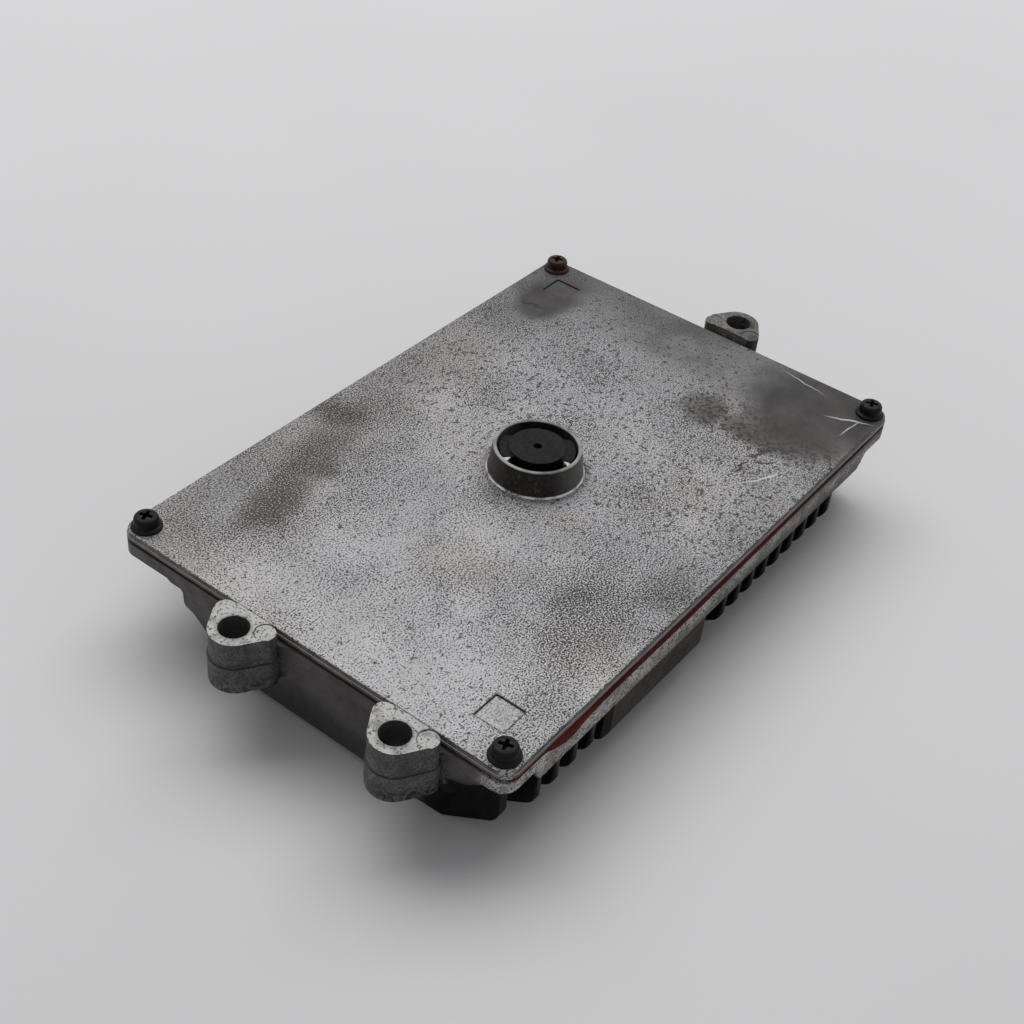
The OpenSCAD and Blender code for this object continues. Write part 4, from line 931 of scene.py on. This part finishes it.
def pin_form(name, tail, run_z, tip_y, tail_z, thick):
    """A square pin: an upright tail, a bend, and a run that ends in a tapered tip."""
    half, taper = thick / 2, 1.2 * MM
    corners = [(tail - half, run_z - half), (tip_y - taper, run_z - half), (tip_y, run_z - half / 3),
               (tip_y, run_z + half / 3), (tip_y - taper, run_z + half), (tail + half, run_z + half),
               (tail + half, tail_z), (tail - half, tail_z)]
    slim = [1, 1, 0.4, 0.4, 1, 1, 1, 1]
    work = bmesh.new()
    left = [work.verts.new((-half * k, y, z)) for (y, z), k in zip(corners, slim)]
    right = [work.verts.new((half * k, y, z)) for (y, z), k in zip(corners, slim)]
    work.faces.new([left[i] for i in (1, 4, 5, 0)])
    work.faces.new([left[i] for i in (0, 5, 6, 7)])
    work.faces.new([left[i] for i in (1, 2, 3, 4)])
    work.faces.new([right[i] for i in (0, 5, 4, 1)])
    work.faces.new([right[i] for i in (7, 6, 5, 0)])
    work.faces.new([right[i] for i in (4, 3, 2, 1)])
    for i in range(len(corners)):
        n = (i + 1) % len(corners)
        work.faces.new([left[i], right[i], right[n], left[n]])
    bmesh.ops.recalc_face_normals(work, faces=work.faces)
    return new_piece(name, clean_mesh(work, name))


def pin_rows(node_name, piece_name, material):
    """Both rows of pins of one socket, laid out along the box of their CAD node."""
    low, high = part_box(node_name)
    thick, pitch, row_rise, row_step = 0.8 * MM, 3.3 * MM, 4.0 * MM, 3.2 * MM
    count = round((high.x - low.x - thick) / pitch) + 1
    places = [(low.x + thick / 2 + k * pitch, 0, 0) for k in range(count)]
    rows = []
    for row in (0, 1):
        form = pin_form("pin", low.y + thick / 2 + row * row_step, low.z + thick / 2 + row * row_rise,
                        high.y, high.z, thick)
        rows.append(spread("pin_row", form, places, material))
    return joined(piece_name, rows, material)


def joined(name, pieces, material):
    """One piece made of several."""
    work = bmesh.new()
    for piece in pieces:
        work.from_mesh(piece.data)
        bpy.data.objects.remove(piece)
    bmesh.ops.recalc_face_normals(work, faces=work.faces)
    piece = new_piece(name, clean_mesh(work, name))
    piece.data.polygons.foreach_set("use_smooth", [True] * len(piece.data.polygons))
    piece.data.set_sharp_from_angle(angle=math.radians(45))
    dress(piece, material)
    return piece


def stage_scene():
    """Pale table, large soft lamp behind and above, weak light all round, and the photograph's camera."""
    scene = bpy.context.scene
    scene.view_settings.view_transform = "Standard"
    bpy.ops.mesh.primitive_plane_add(size=TABLE_SIZE, location=(0, 0, -0.00005))
    table = bpy.context.object
    table.name = "table"
    cloth = Finish("pale_table", "d9d8d9", 0.6)
    shade = cloth.noise(3, 2)
    cloth.set(colour=cloth.mix(cloth.ease(shade, 0.3, 0.7), "d6d5d6", "dcdbdc"))
    dress(table, cloth.material)

    world = bpy.data.worlds.new("studio")
    scene.world = world
    world.use_nodes = True
    nodes, links = world.node_tree.nodes, world.node_tree.links
    back = nodes["Background"]
    back.inputs["Color"].default_value = (0.93, 0.94, 0.96, 1)
    ray = nodes.new("ShaderNodeLightPath")
    seen = ray.outputs["Is Camera Ray"]
    for kind in ("Is Glossy Ray", "Is Transmission Ray"):
        either = nodes.new("ShaderNodeMath")
        either.operation = "MAXIMUM"
        links.new(seen, either.inputs[0])
        links.new(ray.outputs[kind], either.inputs[1])
        seen = either.outputs[0]
    level = nodes.new("ShaderNodeMapRange")
    links.new(seen, level.inputs["Value"])
    level.inputs["To Min"].default_value = FILL_LEVEL
    level.inputs["To Max"].default_value = BACKDROP_LEVEL
    links.new(level.outputs["Result"], back.inputs["Strength"])

    lamp_data = bpy.data.lights.new("soft_box", "AREA")
    lamp_data.shape = "RECTANGLE"
    lamp_data.size, lamp_data.size_y = LAMP_SIZE
    lamp_data.energy = LAMP_ENERGY
    lamp = bpy.data.objects.new("soft_box", lamp_data)
    scene.collection.objects.link(lamp)
    lamp.location = LAMP_PLACE
    lamp.rotation_mode = "QUATERNION"
    lamp.rotation_quaternion = (Vector((0, 0, 0.02)) - lamp.location).to_track_quat("-Z", "Y")

    camera_data = bpy.data.cameras.new("photo_camera")
    camera_data.sensor_width = CAMERA_SENSOR
    camera_data.lens = CAMERA_LENS
    camera_data.clip_start = 0.01
    camera = bpy.data.objects.new("photo_camera", camera_data)
    scene.collection.objects.link(camera)
    turned = Matrix((CAMERA_RIGHT, CAMERA_UP, CAMERA_BACK)).transposed().to_4x4()
    stand = COVER_MID + Vector(CAMERA_PLACE) * MM
    camera.matrix_world = Matrix.Translation(stand) @ turned
    scene.camera = camera


stage_scene()

finishes = {
    "cast_cover": cover_finish(),
    "cast_housing": tub_finish(),
    "red_silicone": silicone_finish(),
    "black_screws": screw_finish(),
    "black_plastic": cap_finish(),
    "white_membrane": plain_finish("vent_film", "e6e6e2", "d5d5cf", 0.8, 0.0, 1500, 0.02),
    "seal_rubber": plain_finish("ring_rubber", "242426", "1b1b1c", 0.7, 0.0, 800, 0.02),
    "header_plastic": plain_finish("header_plastic", "232426", "1b1c1d", 0.5, 0.0, 1400, 0.03),
    "potting": plain_finish("poured_resin", "3a3a38", "2c2c2b", 0.35, 0.0, 500, 0.03),
    "pin_brass": plain_finish("plated_pins", "c9b26a", "a48f52", 0.28, 1.0, 1200, 0.01),
    "plain_steel": plain_finish("zinc_steel", "8d8f92", "77797c", 0.35, 1.0, 900, 0.01),
    "board_laminate": plain_finish("board_mask", "2c5a34", "244c2c", 0.4, 0.0, 900, 0.01),
    "chip_plastic": plain_finish("chip_epoxy", "2b2b2d", "222224", 0.6, 0.0, 1500, 0.02),
    "thermal_rubber": plain_finish("thermal_pad", "9fb4c4", "8ba1b2", 0.8, 0.0, 1200, 0.02),
    "can_aluminium": plain_finish("capacitor_can", "3c4148", "333840", 0.35, 0.6, 800, 0.01),
    "ferrite": plain_finish("ferrite_core", "4a4a4c", "3c3c3e", 0.6, 0.0, 1200, 0.03),
    "chip_ceramic": plain_finish("chip_ceramic", "b08d5f", "94754c", 0.5, 0.0, 1500, 0.02),
}
slot_of = {part["node"]: part["material_slot"] for part in frame["record"]["subparts"]}
for node_name, node_object in frame["nodes"].items():
    dress(node_object, finishes[slot_of[node_name]])

# Roundings of the castings: passes of width, room needed on both faces (millimetres) and segments
place(rounded_casting("housing", "tub_casting", [(0.4, 0.5, 3), (0.12, 0.15, 2)], finishes["cast_housing"]),
      "cast_housing", "housing")
place(rounded_casting("cover", "cover_casting", [(0.3, 0.34, 3), (0.1, 0.12, 2)], finishes["cast_cover"]),
      "cast_cover", "cover")
place(rounded_casting("vent_cap", "vent_button", [(0.25, 0.3, 3)], finishes["black_plastic"]),
      "black_plastic", "vent_cap")
place(rounded_casting("connector_header", "socket_block", [(0.35, 0.4, 3), (0.12, 0.15, 2)],
                      finishes["header_plastic"]),
      "header_plastic", "connector_header")

screw_x = screw_high.x - SCREW_WASHER_R
screw_y = screw_high.y - SCREW_WASHER_R - COVER_MID.y
screw_spots = [(sx * screw_x, COVER_MID.y + sy * screw_y, TOP_Z) for sx in (-1, 1) for sy in (-1, 1)]
place(spread("corner_screws", screw_form(), screw_spots, finishes["black_screws"]),
      "black_screws", "cover_screws")

for letter in "abc":
    place(pin_rows("header_pins_" + letter, "socket_pins_" + letter, finishes["pin_brass"]),
          "pin_brass", "header_pins_" + letter)

seal_ring = new_piece("seal_ring", clean_mesh(merged_work("sealant"), "seal_ring"))
bead = silicone_bead(finishes["red_silicone"])
place(joined("silicone_seal", [seal_ring, bead], finishes["red_silicone"]), "red_silicone", "sealant")
